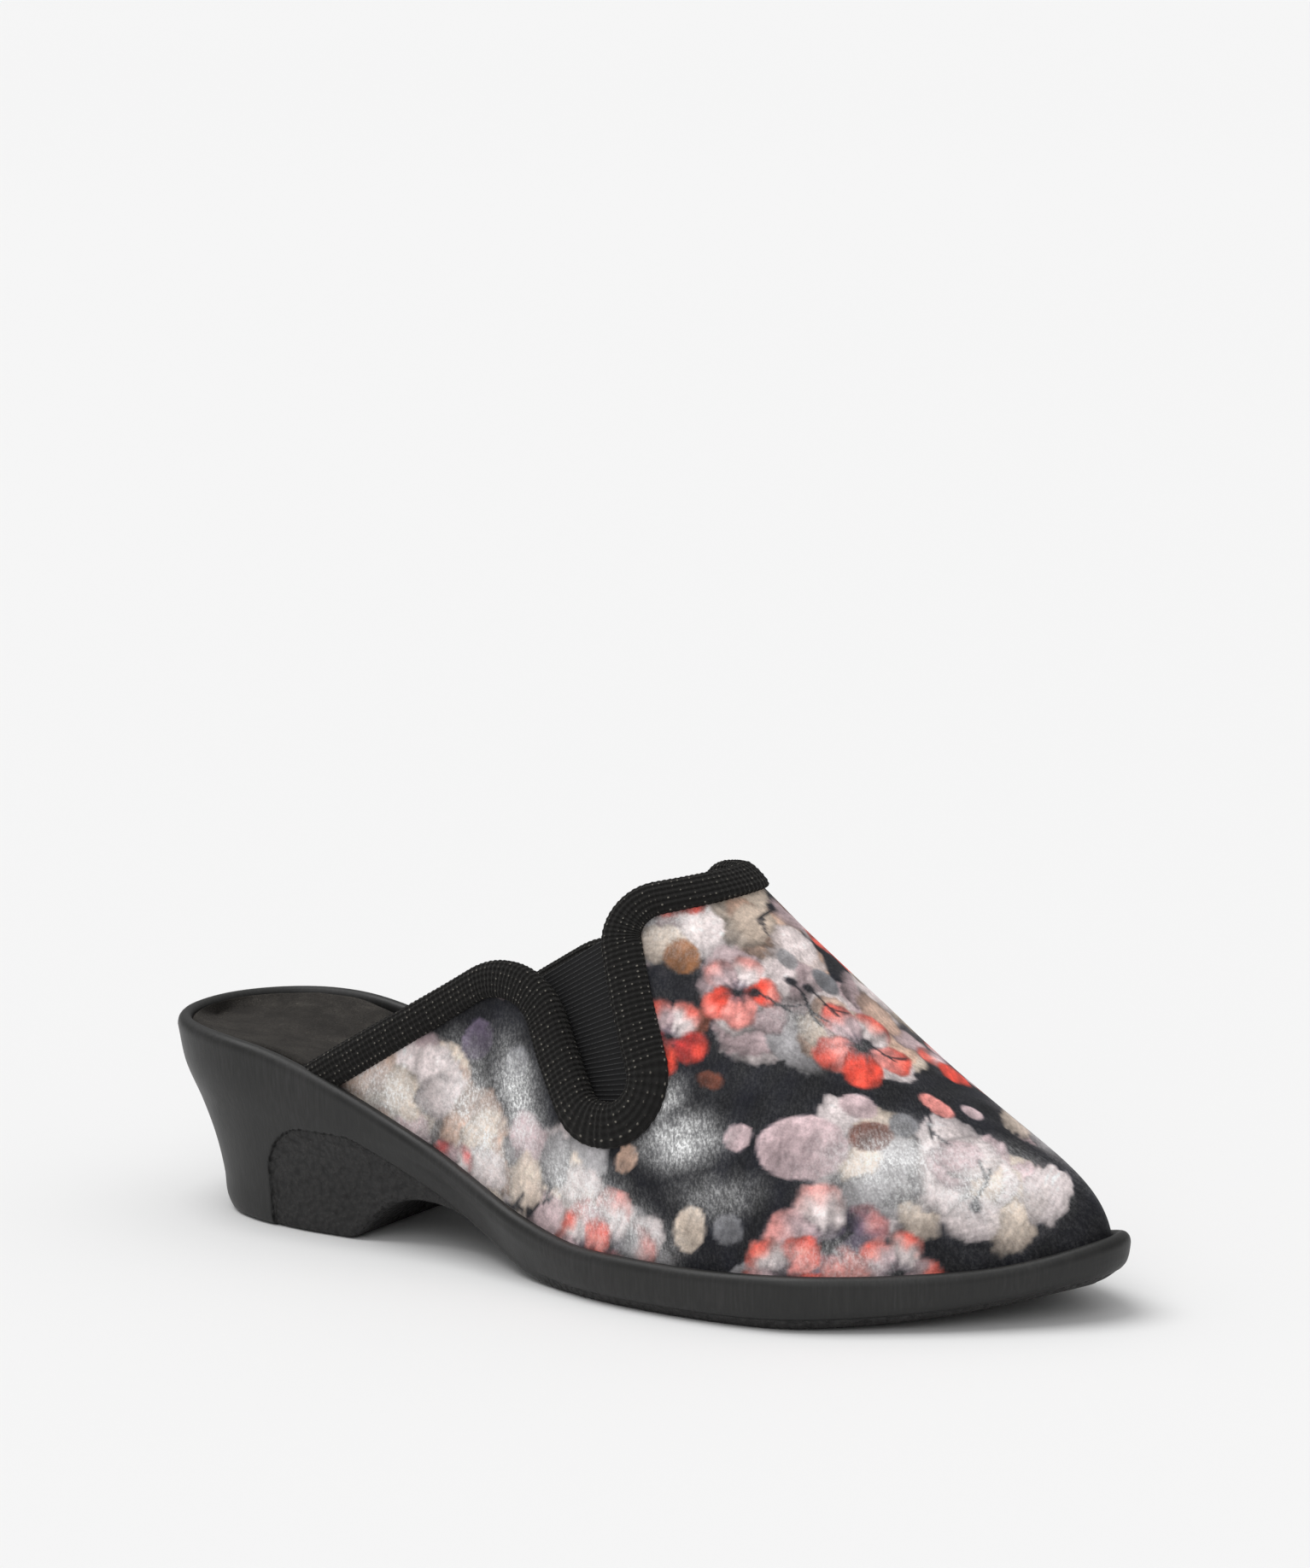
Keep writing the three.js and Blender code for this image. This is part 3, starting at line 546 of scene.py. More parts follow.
def braid_material():
    """Knitted binding tape, black yarn: round stitches 1.3 mm apart with a paler fleck on some crowns."""
    material, tree, shader = finish("knitted binding tape", Roughness=0.85, IOR=1.45, Sheen_Weight=0.15,
        Sheen_Roughness=0.5, Specular_IOR_Level=0.3)
    shader.inputs["Sheen Tint"].default_value = paint("#7d7a76")
    cloth = add(tree, "Attribute", attribute_name="cloth").outputs["Vector"]
    place = add(tree, "TexCoord").outputs["Object"]
    parts = add(tree, "SeparateXYZ", {"Vector": cloth}).outputs
    lint = add(tree, "TexNoise", {"Vector": place, "Scale": 2400.0, "Detail": 4.0}).outputs["Fac"]
    patches = add(tree, "TexNoise", {"Vector": cloth, "Scale": 0.55, "Detail": 3.0}).outputs["Fac"]
    waves = []
    for way in ("ADD", "SUBTRACT"):
        diagonal = add(tree, "Math", {0: parts[0], 1: parts[1]}, operation=way).outputs[0]
        phase = add(tree, "Math", {0: diagonal, 1: np.pi / STITCH_PITCH}, operation="MULTIPLY").outputs[0]
        waves.append(add(tree, "Math", {0: phase}, operation="COSINE").outputs[0])
    lattice = add(tree, "Math", {0: waves[0], 1: waves[1]}, operation="MULTIPLY").outputs[0]
    crown = add(tree, "MapRange", {"Value": lattice, "From Min": 0.55, "From Max": 0.95}).outputs[0]
    some = add(tree, "MapRange", {"Value": patches, "From Min": 0.47, "From Max": 0.58}).outputs[0]
    fleck = add(tree, "Math", {0: crown, 1: some}, operation="MULTIPLY").outputs[0]
    fluffy = add(tree, "Math", {0: fleck, 1: lint}, operation="MULTIPLY").outputs[0]
    tone = add(tree, "ValToRGB", {"Fac": fluffy},
        ramp=[(0.0, "#131211"), (0.2, "#262422"), (0.55, "#7b776f")]).outputs["Color"]
    tree.links.new(tone, shader.inputs["Base Color"])
    knit = add(tree, "Bump", {"Strength": 0.8, "Distance": 0.0004, "Height": lattice}).outputs[0]
    yarn = add(tree, "Bump", {"Strength": 0.5, "Distance": 0.0002, "Height": lint, "Normal": knit}).outputs[0]
    tree.links.new(yarn, shader.inputs["Normal"])
    return material


def elastic_material():
    """Woven elastic, black: fine ribs 1.2 mm apart with a thin greyish thread on each crown."""
    material, tree, shader = finish("woven elastic", Roughness=0.75, IOR=1.45, Specular_IOR_Level=0.35)
    cloth = add(tree, "Attribute", attribute_name="cloth").outputs["Vector"]
    parts = add(tree, "SeparateXYZ", {"Vector": cloth}).outputs
    dashes = add(tree, "TexNoise", {"Vector": cloth, "Scale": 2.2, "Detail": 3.0}).outputs["Fac"]
    phase = add(tree, "Math", {0: parts[1], 1: 2 * np.pi / RIB_PITCH}, operation="MULTIPLY").outputs[0]
    wave = add(tree, "Math", {0: phase}, operation="COSINE").outputs[0]
    crest = add(tree, "MapRange", {"Value": wave, "From Min": 0.80, "From Max": 1.0}).outputs[0]
    thread = add(tree, "Math", {0: crest, 1: dashes}, operation="MULTIPLY").outputs[0]
    tone = add(tree, "ValToRGB", {"Fac": thread},
        ramp=[(0.0, "#0f0f10"), (0.25, "#1b1b1c"), (0.6, "#4a4a4b")]).outputs["Color"]
    tree.links.new(tone, shader.inputs["Base Color"])
    relief = add(tree, "Bump", {"Strength": 0.5, "Distance": 0.0002, "Height": thread}).outputs[0]
    tree.links.new(relief, shader.inputs["Normal"])
    return material


def lining_material():
    """Brushed knit lining, dark grey: a soft short nap with no gloss."""
    material, tree, shader = finish("brushed lining", Roughness=1.0, IOR=1.4, Specular_IOR_Level=0.15)
    place = add(tree, "TexCoord").outputs["Object"]
    nap = add(tree, "TexNoise", {"Vector": place, "Scale": 1200.0, "Detail": 5.0}).outputs["Fac"]
    tone = add(tree, "ValToRGB", {"Fac": nap}, ramp=[(0.3, "#171615"), (0.7, "#302e2c")]).outputs["Color"]
    tree.links.new(tone, shader.inputs["Base Color"])
    bump = add(tree, "Bump", {"Strength": 0.6, "Distance": 0.0004, "Height": nap}).outputs[0]
    tree.links.new(bump, shader.inputs["Normal"])
    return material


def floor_material():
    """Matt studio floor, off-white."""
    material, tree, shader = finish("matt floor", Roughness=1.0, Specular_IOR_Level=0.0)
    place = add(tree, "TexCoord").outputs["Object"]
    cloudy = add(tree, "TexNoise", {"Vector": place, "Scale": 0.4, "Detail": 1.0}).outputs["Fac"]
    tone = add(tree, "ValToRGB", {"Fac": cloudy}, ramp=[(0.0, "#ececec"), (1.0, "#eeeeee")]).outputs["Color"]
    tree.links.new(tone, shader.inputs["Base Color"])
    return material


# Stations along the length: closer in the round ends

def stations(middle):
    """Places along the shoe: cosine steps in the heel's round end, sine steps in the toe's."""
    heel = HEEL_CAP * (1 - np.cos(np.linspace(0, np.pi / 2, 25)[:-1]))
    toe = LENGTH - TOE_CAP + TOE_CAP * np.sin(np.linspace(0, np.pi / 2, 56))
    return np.concatenate((heel, middle, toe))


# Sole

def inside_outline(points, outline):
    """Whether each point lies inside a closed outline, by counting the edges it passes under."""
    start, end = outline, np.roll(outline, -1, axis=0)
    px, py = points[..., 0:1], points[..., 1:2]
    spans = (start[:, 1] > py) != (end[:, 1] > py)
    slope = (end[:, 0] - start[:, 0]) / np.where(end[:, 1] == start[:, 1], 1e-9, end[:, 1] - start[:, 1])
    return (spans & (px < start[:, 0] + (py - start[:, 1]) * slope)).sum(-1) % 2 == 1


def outline_distance(points, outline):
    """Distance of each point from a closed outline."""
    start = outline
    way = np.roll(outline, -1, axis=0) - start
    offset = points[..., None, :] - start
    t = np.clip((offset * way).sum(-1) / np.maximum((way * way).sum(-1), 1e-9), 0, 1)
    return np.linalg.norm(offset - t[..., None] * way, axis=-1).min(-1)


def sole_piece():
    """Each ring runs from the recess's middle over the lip, down the wall and across the underside;
    the wall's inset is the taper times the profile, and a side panel is sunk by its depth."""
    fine = np.concatenate((np.arange(HEEL_CAP, 128, 0.55), np.arange(128, LENGTH - TOE_CAP, 1.3)))
    x = stations(fine)
    wall_downs = np.linspace(0, 1, 62)
    outline = rounded(PANEL, HEEL_HEIGHT, "up", 24)
    halves, grains = [], []
    for side in (-1.0, 1.0):
        floor = np.linspace(1, 0, 6)[1:, None]
        edge_x, edge_y = inset(side, x, LIP_WIDTH)
        other_x, other_y = inset(-side, x, LIP_WIDTH)
        columns = []
        for share in (0.5, 0.25, 0.0):
            px, py = edge_x + (other_x - edge_x) * share, edge_y + (other_y - edge_y) * share
            columns.append(np.stack([px, py, bed(px)], -1))
        for distance, drop in zip(LIP["inset"], LIP["drop"]):
            px, py = inset(side, x, distance)
            columns.append(np.stack([px, py, rim(x) - drop], -1))
        down = wall_downs[None, :]
        turned = smooth(*PROFILE_TURN, x / LENGTH)[:, None]
        shape = heel_profile(down) * (1 - turned) + fore_profile(down) * turned
        foot = (taper(x) * HEEL_TAPER)[:, None] * shape
        station = np.broadcast_to(x[:, None], foot.shape)
        high = (rim(x) - WALL_TOP)[:, None]
        rough_x, _ = inset(side, station, foot)
        z = high * (1 - down) + under(rough_x) * down
        left = np.clip((z - under(rough_x)) / FOOT_ROUND, 0, 1)
        rounding = FOOT_ROUND * (1 - np.sqrt(1 - (1 - left) ** 2))
        seen = np.stack([rough_x, z], -1)
        deep = np.where(inside_outline(seen, outline), 1, -1) * outline_distance(seen, outline)
        in_panel = smooth(-0.1, 0.35, deep)
        low_band = smooth(0.70, 0.76, down) * smooth(118, 132, station)
        reach = foot + rounding + PANEL_DEPTH * in_panel + 0.3 * low_band
        px, py = inset(side, station, reach)
        wall = np.stack([px, py, z], -1)
        grain = np.maximum(in_panel, low_band)
        foot_x, foot_y = px[:, -1], py[:, -1]
        mid_y = (inset(-side, x, reach[:, -1])[1] + foot_y) / 2
        below = []
        for share in floor.ravel():
            yy = mid_y + (foot_y - mid_y) * share
            below.append(np.stack([foot_x, yy, under(foot_x)], -1))
        half = np.concatenate((np.stack(columns, 1), wall, np.stack(below, 1)), 1)
        texture = np.zeros(half.shape[:2])
        texture[:, len(columns) : len(columns) + wall.shape[1]] = grain
        texture[:, len(columns) + wall.shape[1] :] = 1
        halves.append(half)
        grains.append(texture)
    points = np.concatenate((halves[0], halves[1][:, ::-1]), 1)
    grain = np.concatenate((grains[0], grains[1][:, ::-1]), 1)
    faces = grid_faces(*points.shape[:2], round_columns=True)
    return piece("moulded_sole", points, faces, sole_material(),
        {"grain": grain[..., None]}, replaces=["sole"])


# Footbed

def insole_piece():
    """Rings across the felt: its top dips by the square of the distance from the edge, its side is
    drafted, and its nap is uneven by a tenth of a millimetre."""
    x = stations(np.arange(HEEL_CAP, LENGTH - TOE_CAP, 1.3))
    drop, dish, draft = (lengthwise(FOOTBED, key) for key in ("drop", "dish", "draft"))
    foot = COLLAR["at"][0] * LENGTH
    reach = LIP_WIDTH + 0.05 + smooth(foot - 18, foot - 3, x) * (WALL + 2 * GAP)
    top = bed(x) + np.maximum(RECESS_DEPTH * (1 - drop(x)), FELT)
    deep = dish(x) * RECESS_DEPTH
    lean = draft(x) * LIP_WIDTH
    halves = []
    for side in (-1.0, 1.0):
        edge_x, edge_y = inset(side, x, reach + lean + 2 * GAP)
        other_x, other_y = inset(-side, x, reach + lean + 2 * GAP)
        columns = []
        for out in np.linspace(0, 1, 34):
            share = (1 - out) / 2
            z = top - deep * (1 - out**2) - 0.5 * smooth(0.96, 1, out)
            columns.append(np.stack([edge_x + (other_x - edge_x) * share, edge_y + (other_y - edge_y) * share, z], -1))
        for distance, down in ((0.8, 0.75), (0.6, 1.2), (0.3, 2.2), (0, 3.4)):
            px, py = inset(side, x, reach + lean * distance)
            columns.append(np.stack([px, py, top - down], -1))
        for share in (0, 0.25, 0.5):
            ax, ay = inset(side, x, reach)
            bx, by = inset(-side, x, reach)
            px, py = ax + (bx - ax) * share, ay + (by - ay) * share
            columns.append(np.stack([px, py, bed(px) + GAP / 2], -1))
        halves.append(np.stack(columns, 1))
    points = np.concatenate((halves[0], halves[1][:, ::-1]), 1)
    points[..., 2] += 0.07 * wobble(points, 5, 4) + 0.03 * wobble(points, 1.6, 5)
    faces = grid_faces(*points.shape[:2], round_columns=True)
    return piece("felt_insole", points, faces, felt_material(), replaces=["insole"])


# Upper

# Soft troughs and swellings, listed one by one: centre on the cloth, half-length and half-width in mm,
# turn in degrees, and height in mm
CREASES = (
    (118, -0.90, 16, 5, 20, -0.5), (132, -0.78, 12, 4, 60, 0.4), (150, -0.72, 14, 4, 75, -0.45),
    (163, -0.62, 16, 6, 40, 0.4), (176, -0.45, 18, 6, 25, -0.35), (92, -0.86, 12, 5, -30, 0.35),
    (75, -0.88, 10, 4, 50, -0.3), (196, -0.60, 14, 5, 10, 0.35), (205, -0.2, 14, 5, 70, -0.3),
    (130, 0.80, 14, 5, -50, -0.5), (150, 0.72, 14, 5, -70, 0.45), (176, 0.45, 18, 6, -25, -0.35),
    (100, 0.88, 12, 5, 30, 0.35), (200, 0.6, 14, 5, -15, 0.3), (228, 0.0, 10, 5, 90, -0.25))


def spot(points, x, across, turn=0.0):
    """Coordinates of the cloth's points round a place on it, in mm: ahead and aside in the tangent
    plane there, turned by degrees, and how far each point stands off that plane."""
    along, _, normal = face_frame(np.array(float(x)), np.array(float(across)))
    ahead = unit(along)
    aside = np.cross(normal, ahead)
    offset = points - face(np.array(float(x)), np.array(float(across)))
    a, b, height = offset @ ahead, offset @ aside, offset @ normal
    c, s = np.cos(np.radians(turn)), np.sin(np.radians(turn))
    return a * c + b * s, b * c - a * s, height


def creased(points):
    """Height of the cloth over its plain form: a sum of two-way bells, one for each crease."""
    height = np.zeros(points.shape[:-1])
    for x, across, long, wide, turn, depth in CREASES:
        a, b, off = spot(points, x, across, turn)
        height += depth * np.exp(-((a / long) ** 2) - (b / wide) ** 2 - (off / 12) ** 2)
    return height


def cloth_grid(spacing):
    """Parameters of the upper's grid, its collar edge pulled onto the collar line: faces that lie
    wholly beyond the line are left out, and the corners of the rest that do are moved onto it."""
    rear = COLLAR["at"][0] * LENGTH - 2
    count = int(round(115 / spacing))
    middle = np.arange(rear, LENGTH - TOE_CAP, spacing)
    toe = LENGTH - TOE_CAP + TOE_CAP * np.sin(np.linspace(0, np.pi / 2, int(82 / spacing)))
    x, across = np.meshgrid(np.concatenate((middle, toe)), np.linspace(-1, 1, 2 * count + 1), indexing="ij")
    faces = grid_faces(*x.shape)
    line = np.stack(collar_line(1.0), -1)
    stretch = np.array([1.0, 100.0])
    closed = np.concatenate((line, [[LENGTH + 20, 1.2], [LENGTH + 20, -1.2]])) * stretch
    places = np.stack([x.ravel(), across.ravel()], -1) * stretch
    kept = np.zeros(len(places), bool)
    for part in np.array_split(np.arange(len(places)), 24):
        kept[part] = inside_outline(places[part], closed)
    faces = faces[kept[faces].any(1)]
    used = np.unique(faces)
    beyond = used[~kept[used]]
    smooth_line = line * stretch
    near = np.linalg.norm(places[beyond, None] - smooth_line[None], axis=-1).argmin(1)
    places[beyond] = smooth_line[near]
    order = np.full(len(places), -1)
    order[used] = np.arange(len(used))
    return places[used, 0], places[used, 1] / stretch[1], order[faces], x.shape


def cloth_points(x, across, depth):
    """Points of the cloth at a depth under its outer face, creases included."""
    points = face(x, across)
    before_tip = np.minimum(x, LENGTH - 0.01)
    _, _, normal = face_frame(before_tip, np.clip(across, -0.9985, 0.9985))
    return points + normal * (creased(points) - depth)[..., None], normal


# Print: an ordinary floral of this shoe's own. Colours as seen on the cloth.
GROUND = "#101118"
PEARL, ROSE, CREAM, PEACH = "#ddd0cf", "#cbb2b5", "#dccab9", "#c9a793"
ASH, SLATE, PLUM = "#9a9799", "#77777b", "#5d5265"
CORAL, SALMON, CHERRY = "#f2513f", "#ee958d", "#c23a37"
BARK, UMBER = "#6b3b2c", "#8a5a35"


def colour_of(code):
    return np.array([int(code[i : i + 2], 16) / 255 for i in (1, 3, 5)])


def lay(colour, mask, tint, tone):
    """Lays a tint over the colours where the mask is, lighter or darker by the tone."""
    mask = np.clip(mask, 0, 1)[:, None]
    return colour * (1 - mask) + np.clip(colour_of(tint) * tone[:, None], 0, 1) * mask


def oval(a, b, long, wide, soft=0.35):
    """Cover of an oval with soft edges, and its own radius at each point."""
    radius = np.hypot(a / long, b / wide)
    return smooth(1 + soft / min(long, wide), 1 - soft / min(long, wide), radius), radius


# Drifts of overlapping petals: centre, half-length, half-width, turn, count, petal length, tints
DRIFTS = (
    (62, -0.95, 19, 9, -30, 14, 11, (PEARL, CREAM, ASH, ROSE)),
    (80, -0.88, 17, 11, -20, 14, 12, (PEARL, PEACH, CREAM, ROSE)),
    (102, -0.92, 20, 11, -18, 18, 12, (PEARL, CREAM, PEARL, PEACH)),
    (126, -0.88, 18, 11, -5, 16, 11, (ROSE, PEARL, ASH, CREAM)),
    (146, -0.93, 14, 6, -8, 10, 9, (ASH, ROSE, CREAM, PEARL)),
    (145, -0.28, 15, 12, 0, 14, 11, (PEARL, ASH, CREAM, ROSE)),
    (160, -0.12, 19, 12, 0, 16, 13, (CREAM, PEACH, PEARL, CREAM)),
    (176, -0.30, 15, 10, 30, 12, 12, (ROSE, PEARL, ROSE, ASH)),
    (194, -0.18, 21, 9, 15, 16, 11, (ROSE, PEACH, PEARL, CREAM)),
    (216, -0.60, 17, 12, 10, 18, 12, (PEARL, ASH, PEARL, CREAM)),
    (234, -0.62, 15, 11, 0, 16, 11, (CREAM, PEARL, PEARL, ROSE)),
    (62, 0.93, 17, 9, 30, 14, 11, (PEARL, CREAM, ASH, ROSE)),
    (90, 0.86, 18, 12, 20, 16, 12, (CREAM, PEARL, PEACH, ROSE)),
    (120, 0.90, 19, 10, 12, 16, 11, (PEARL, ROSE, ASH, CREAM)),
    (150, 0.36, 17, 13, 10, 16, 12, (PEARL, ASH, CREAM, ROSE)),
    (176, 0.70, 16, 11, -20, 14, 11, (ROSE, CREAM, PEARL, PEACH)),
    (196, 0.24, 18, 10, -20, 14, 11, (CREAM, ROSE, PEARL, PEACH)),
    (212, 0.78, 17, 9, 20, 14, 10, (PEARL, ASH, ROSE, CREAM)),
    (232, 0.50, 15, 10, 0, 12, 10, (CREAM, PEARL, ROSE, ASH)))

# Single pebble-shaped spots: centre, half-length, half-width, turn, tint
PEBBLES = (
    (86, -0.66, 8.6, 7.2, 40, PEACH), (104, -0.62, 2.6, 3.6, 10, ROSE), (98, -0.74, 5.4, 4.2, 60, PLUM),
    (111, -0.74, 4.2, 3.4, 80, SLATE), (101, -0.50, 3.0, 1.8, 60, SALMON),
    (158, -0.48, 4.2, 3.6, 20, BARK), (151, -0.37, 4.6, 4.0, 10, UMBER), (166, -0.57, 3.2, 2.2, 10, BARK),
    (176, -0.66, 3.6, 3.0, 60, ROSE), (193, -0.62, 10.4, 7.6, 22, ROSE), (206, -0.43, 4.4, 3.2, 10, ROSE),
    (209, -0.52, 5.2, 3.6, 30, BARK), (217, -0.44, 3.6, 3.0, 0, SLATE), (147, -0.80, 3.4, 2.8, 60, PEACH),
    (166, -0.88, 4.2, 5.4, 0, CREAM), (176, -0.86, 3.8, 3.6, 20, SLATE), (160, -0.98, 3.4, 2.6, 0, ROSE),
    (181, -0.95, 4.2, 2.6, 10, ASH), (228, -0.28, 4.6, 2.6, -15, SALMON), (240, -0.2, 3.0, 2.0, 0, ROSE),
    (150, -0.10, 5.4, 2.6, -20, PEACH), (187, -0.06, 4.0, 3.0, 0, SLATE), (173, -0.12, 3.2, 2.6, 0, ASH),
    (157, 0.18, 4.4, 3.4, -10, BARK), (168, 0.52, 8.8, 6.4, -20, ROSE), (186, 0.50, 4.6, 3.6, 0, SLATE),
    (140, 0.66, 5.2, 4.0, 30, PEACH), (106, 0.60, 4.0, 3.4, 0, ROSE), (206, 0.56, 4.0, 3.0, 10, UMBER),
    (192, 0.86, 6.4, 4.6, 0, ROSE), (158, 0.88, 4.4, 3.6, 10, PLUM), (78, 0.72, 5.4, 4.4, 0, PEACH))

# Five-petalled blossoms: centre, radius, turn, petal tint, edge tint
BLOSSOMS = (
    (153, -0.55, 5.8, 15, CHERRY, CORAL), (143, -0.22, 5.6, 70, ROSE, CORAL), (166, -0.33, 5.6, 40, CORAL, SALMON),
    (143, -0.95, 8.2, 10, ASH, SALMON), (135, -0.97, 6.0, 50, SALMON, CORAL), (92, -0.985, 5.0, 0, CORAL, CHERRY),
    (200, -0.86, 8.4, 30, PLUM, SALMON), (191, -0.95, 6.6, 60, SALMON, CORAL), (206, -0.19, 7.4, 20, SALMON, CORAL),
    (214, -0.93, 6.0, 0, ROSE, CORAL), (112, 0.90, 7.4, 20, SALMON, CORAL), (165, 0.30, 6.8, 50, SALMON, CORAL),
    (201, 0.86, 7.6, 10, PLUM, SALMON), (150, 0.80, 6.4, 0, CORAL, SALMON), (216, 0.30, 6.4, 30, ROSE, CORAL))

# Twigs: centre, length, turn in degrees, thickness
TWIGS = (
    (81, -0.72, 9, 75, 0.7), (110, -0.965, 12, 35, 0.8), (121, -0.93, 9, 60, 0.6), (161, -0.05, 9, -60, 0.7),
    (185, -0.20, 14, -10, 0.6), (190, -0.14, 10, 15, 0.5), (176, -0.28, 10, 30, 0.5), (232, -0.62, 10, 85, 0.6),
    (203, -0.84, 7, 60, 1.1), (214, -0.15, 8, 20, 0.6), (224, -0.40, 8, -50, 0.5), (90, 0.80, 12, 40, 0.7),
    (150, 0.45, 12, 30, 0.7), (196, 0.40, 12, -20, 0.6), (120, 0.93, 10, 20, 0.7))

# Painted highlight where the pile lies flat, white mixed into the cloth's colour: centre, half-length, half-width,
# turn, strength
PAINTED_SHEEN_PATCHES = (
    (72, -0.91, 16, 7, -25, 0.8), (100, -0.87, 15, 8, -40, 0.9), (112, -0.80, 12, 6, -50, 1.0),
    (134, -0.88, 16, 7, -15, 0.8), (161, -0.72, 8, 5, 30, 1.3), (153, -0.68, 6, 4, 60, 1.1),
    (146, -0.90, 14, 5, -10, 0.6), (146, -0.30, 12, 8, 0, 0.35), (214, -0.60, 14, 8, 10, 0.9),
    (232, -0.60, 13, 8, 0, 0.8), (172, -0.80, 10, 5, 20, 0.35), (203, -0.90, 12, 5, 0, 0.5),
    (190, -0.25, 12, 6, 20, 0.3), (86, 0.88, 15, 7, 25, 0.8), (120, 0.88, 15, 7, 30, 0.8),
    (160, 0.70, 12, 7, -30, 0.9), (212, 0.60, 14, 8, -10, 0.8), (232, 0.60, 13, 8, 0, 0.7))


def printed(points, normal):
    """Colour of each point of the cloth, put down motif by motif in tangent planes, in linear light."""
    warp = np.stack([0.5 * wobble(points, 7, 21), 0.5 * wobble(points, 7, 22)], -1)
    warp += 0.25 * np.stack([wobble(points, 2.4, 23), wobble(points, 2.4, 24)], -1)
    mottle = 0.10 * wobble(points, 6, 25) + 0.07 * wobble(points, 2.1, 26)
    colour = np.tile(colour_of(GROUND), (len(points), 1)) * (1 + 0.35 * wobble(points, 9, 27))[:, None]
    random = np.random.default_rng(8)
    for x, across, long, wide, turn, count, size, tints in DRIFTS:
        a, b, off = spot(points, x, across, turn)
        near = smooth(12, 8, abs(off))
        wash, _ = oval(a + 4 * warp[:, 0], b + 4 * warp[:, 1], long, wide, 4.0)
        colour = lay(colour, wash * near * 0.6, tints[2], 0.55 + 2.0 * mottle)
        for i in range(count):
            angle, far = random.uniform(0, 2 * np.pi), np.sqrt(random.uniform(0, 1))
            ca, cb = long * far * np.cos(angle), wide * far * np.sin(angle)
            leaning = random.uniform(0, np.pi)
            pa = (a + warp[:, 0] - ca) * np.cos(leaning) + (b + warp[:, 1] - cb) * np.sin(leaning)
            pb = (b + warp[:, 1] - cb) * np.cos(leaning) - (a + warp[:, 0] - ca) * np.sin(leaning)
            half = size * random.uniform(0.50, 0.80)
            narrow = half * random.uniform(0.6, 0.9)
            frill = 1 + 0.06 * np.cos(5 * np.arctan2(pb, pa) + 6 * warp[:, 0])
            cover, radius = oval(pa * frill, pb * frill, half, narrow, 0.4)
            vein = 0.05 * np.cos(pb * 2 * np.pi / 1.5)
            tone = 1.04 + mottle + 0.20 * pa / half + vein - 0.30 * np.clip(radius, 0, 1) ** 4
            tone += random.uniform(-0.14, 0.06)
            colour = lay(colour, cover * near * random.uniform(0.8, 1.0), tints[i % len(tints)], tone)
    for x, across, long, wide, turn, tint in PEBBLES:
        a, b, off = spot(points, x, across, turn)
        cover, radius = oval(a + warp[:, 0] * 0.6, b + warp[:, 1] * 0.6, long, wide, 0.35)
        tone = 0.98 + 1.4 * mottle + 0.12 * b / wide - 0.10 * (1 - radius)
        colour = lay(colour, cover * smooth(10, 6, abs(off)) * 0.96, tint, tone)
    for x, across, reach, turn, tint, edge_tint in BLOSSOMS:
        a, b, off = spot(points, x, across, turn)
        a, b = a + warp[:, 0], b + warp[:, 1]
        reach = 1.45 * reach
        for k, petal_tint in enumerate((tint, PEARL, ROSE, tint, edge_tint)):
            way = 2 * np.pi * k / 5 + 0.3 * np.sin(3 * k)
            pa, pb = a * np.cos(way) + b * np.sin(way), b * np.cos(way) - a * np.sin(way)
            cover, radius = oval(pa - 0.62 * reach, pb * (1.25 - 0.35 * pa / reach), 0.56 * reach, 0.46 * reach, 0.5)
            cover = cover * smooth(10, 6, abs(off))
            rays = np.cos(12 * np.arctan2(pb, pa + 0.1 * reach))
            tone = 1.0 + 1.5 * mottle + 0.10 * rays - 0.30 * np.clip(radius, 0, 1) ** 4
            colour = lay(colour, cover, petal_tint, tone)
            fringe = cover * smooth(0.55 * reach, 1.1 * reach, pa + 1.5 * warp[:, 0] + 0.6 * rays)
            colour = lay(colour, fringe * 0.75, edge_tint, tone + 0.08)
            root = cover * smooth(0.45 * reach, 0.1 * reach, pa + 0.5 * rays)
            colour = lay(colour, root * 0.6, PLUM, tone - 0.2)
        eye, _ = oval(a, b * 1.4 + 0.6 * warp[:, 1], 0.16 * reach, 0.12 * reach, 0.5)
        colour = lay(colour, eye * smooth(10, 6, abs(off)), GROUND, 1 + mottle)
    for x, across, length, turn, thick in TWIGS:
        a, b, off = spot(points, x, across, turn)
        b = b + 1.1 * np.sin(a * 0.35) + 0.3 * warp[:, 1]
        stem = smooth(thick, thick * 0.3, abs(b)) * smooth(length / 2, length / 2 - 1, abs(a))
        branch = smooth(thick, thick * 0.3, abs(b - 0.55 * (a - 1))) * smooth(3.6, 2.8, abs(a - 3))
        bud, _ = oval(a + length / 2, b, 1.5, 1.3, 0.5)
        cover = np.maximum(np.maximum(stem, branch * 0.8), bud) * smooth(6, 4, abs(off))
        colour = lay(colour, cover * 0.9, GROUND, 1 + mottle)
    return linear(colour)


def painted_sheen_amount(points):
    """Painted highlight: how much white goes into the cloth's colour where the pile lies flat, which also lowers its
    roughness; the greatest of a few soft patches, broken up a little.
    """
    flat = np.full(len(points), 0.03)
    for x, across, long, wide, turn, strength in PAINTED_SHEEN_PATCHES:
        a, b, off = spot(points, x, across, turn)
        bell = strength * np.exp(-((a / long) ** 2) - (b / wide) ** 2) * smooth(14, 9, abs(off))
        flat = np.maximum(flat, bell)
    return np.clip(flat * (1 + 0.35 * wobble(points, 6, 31)), 0, 1.3)


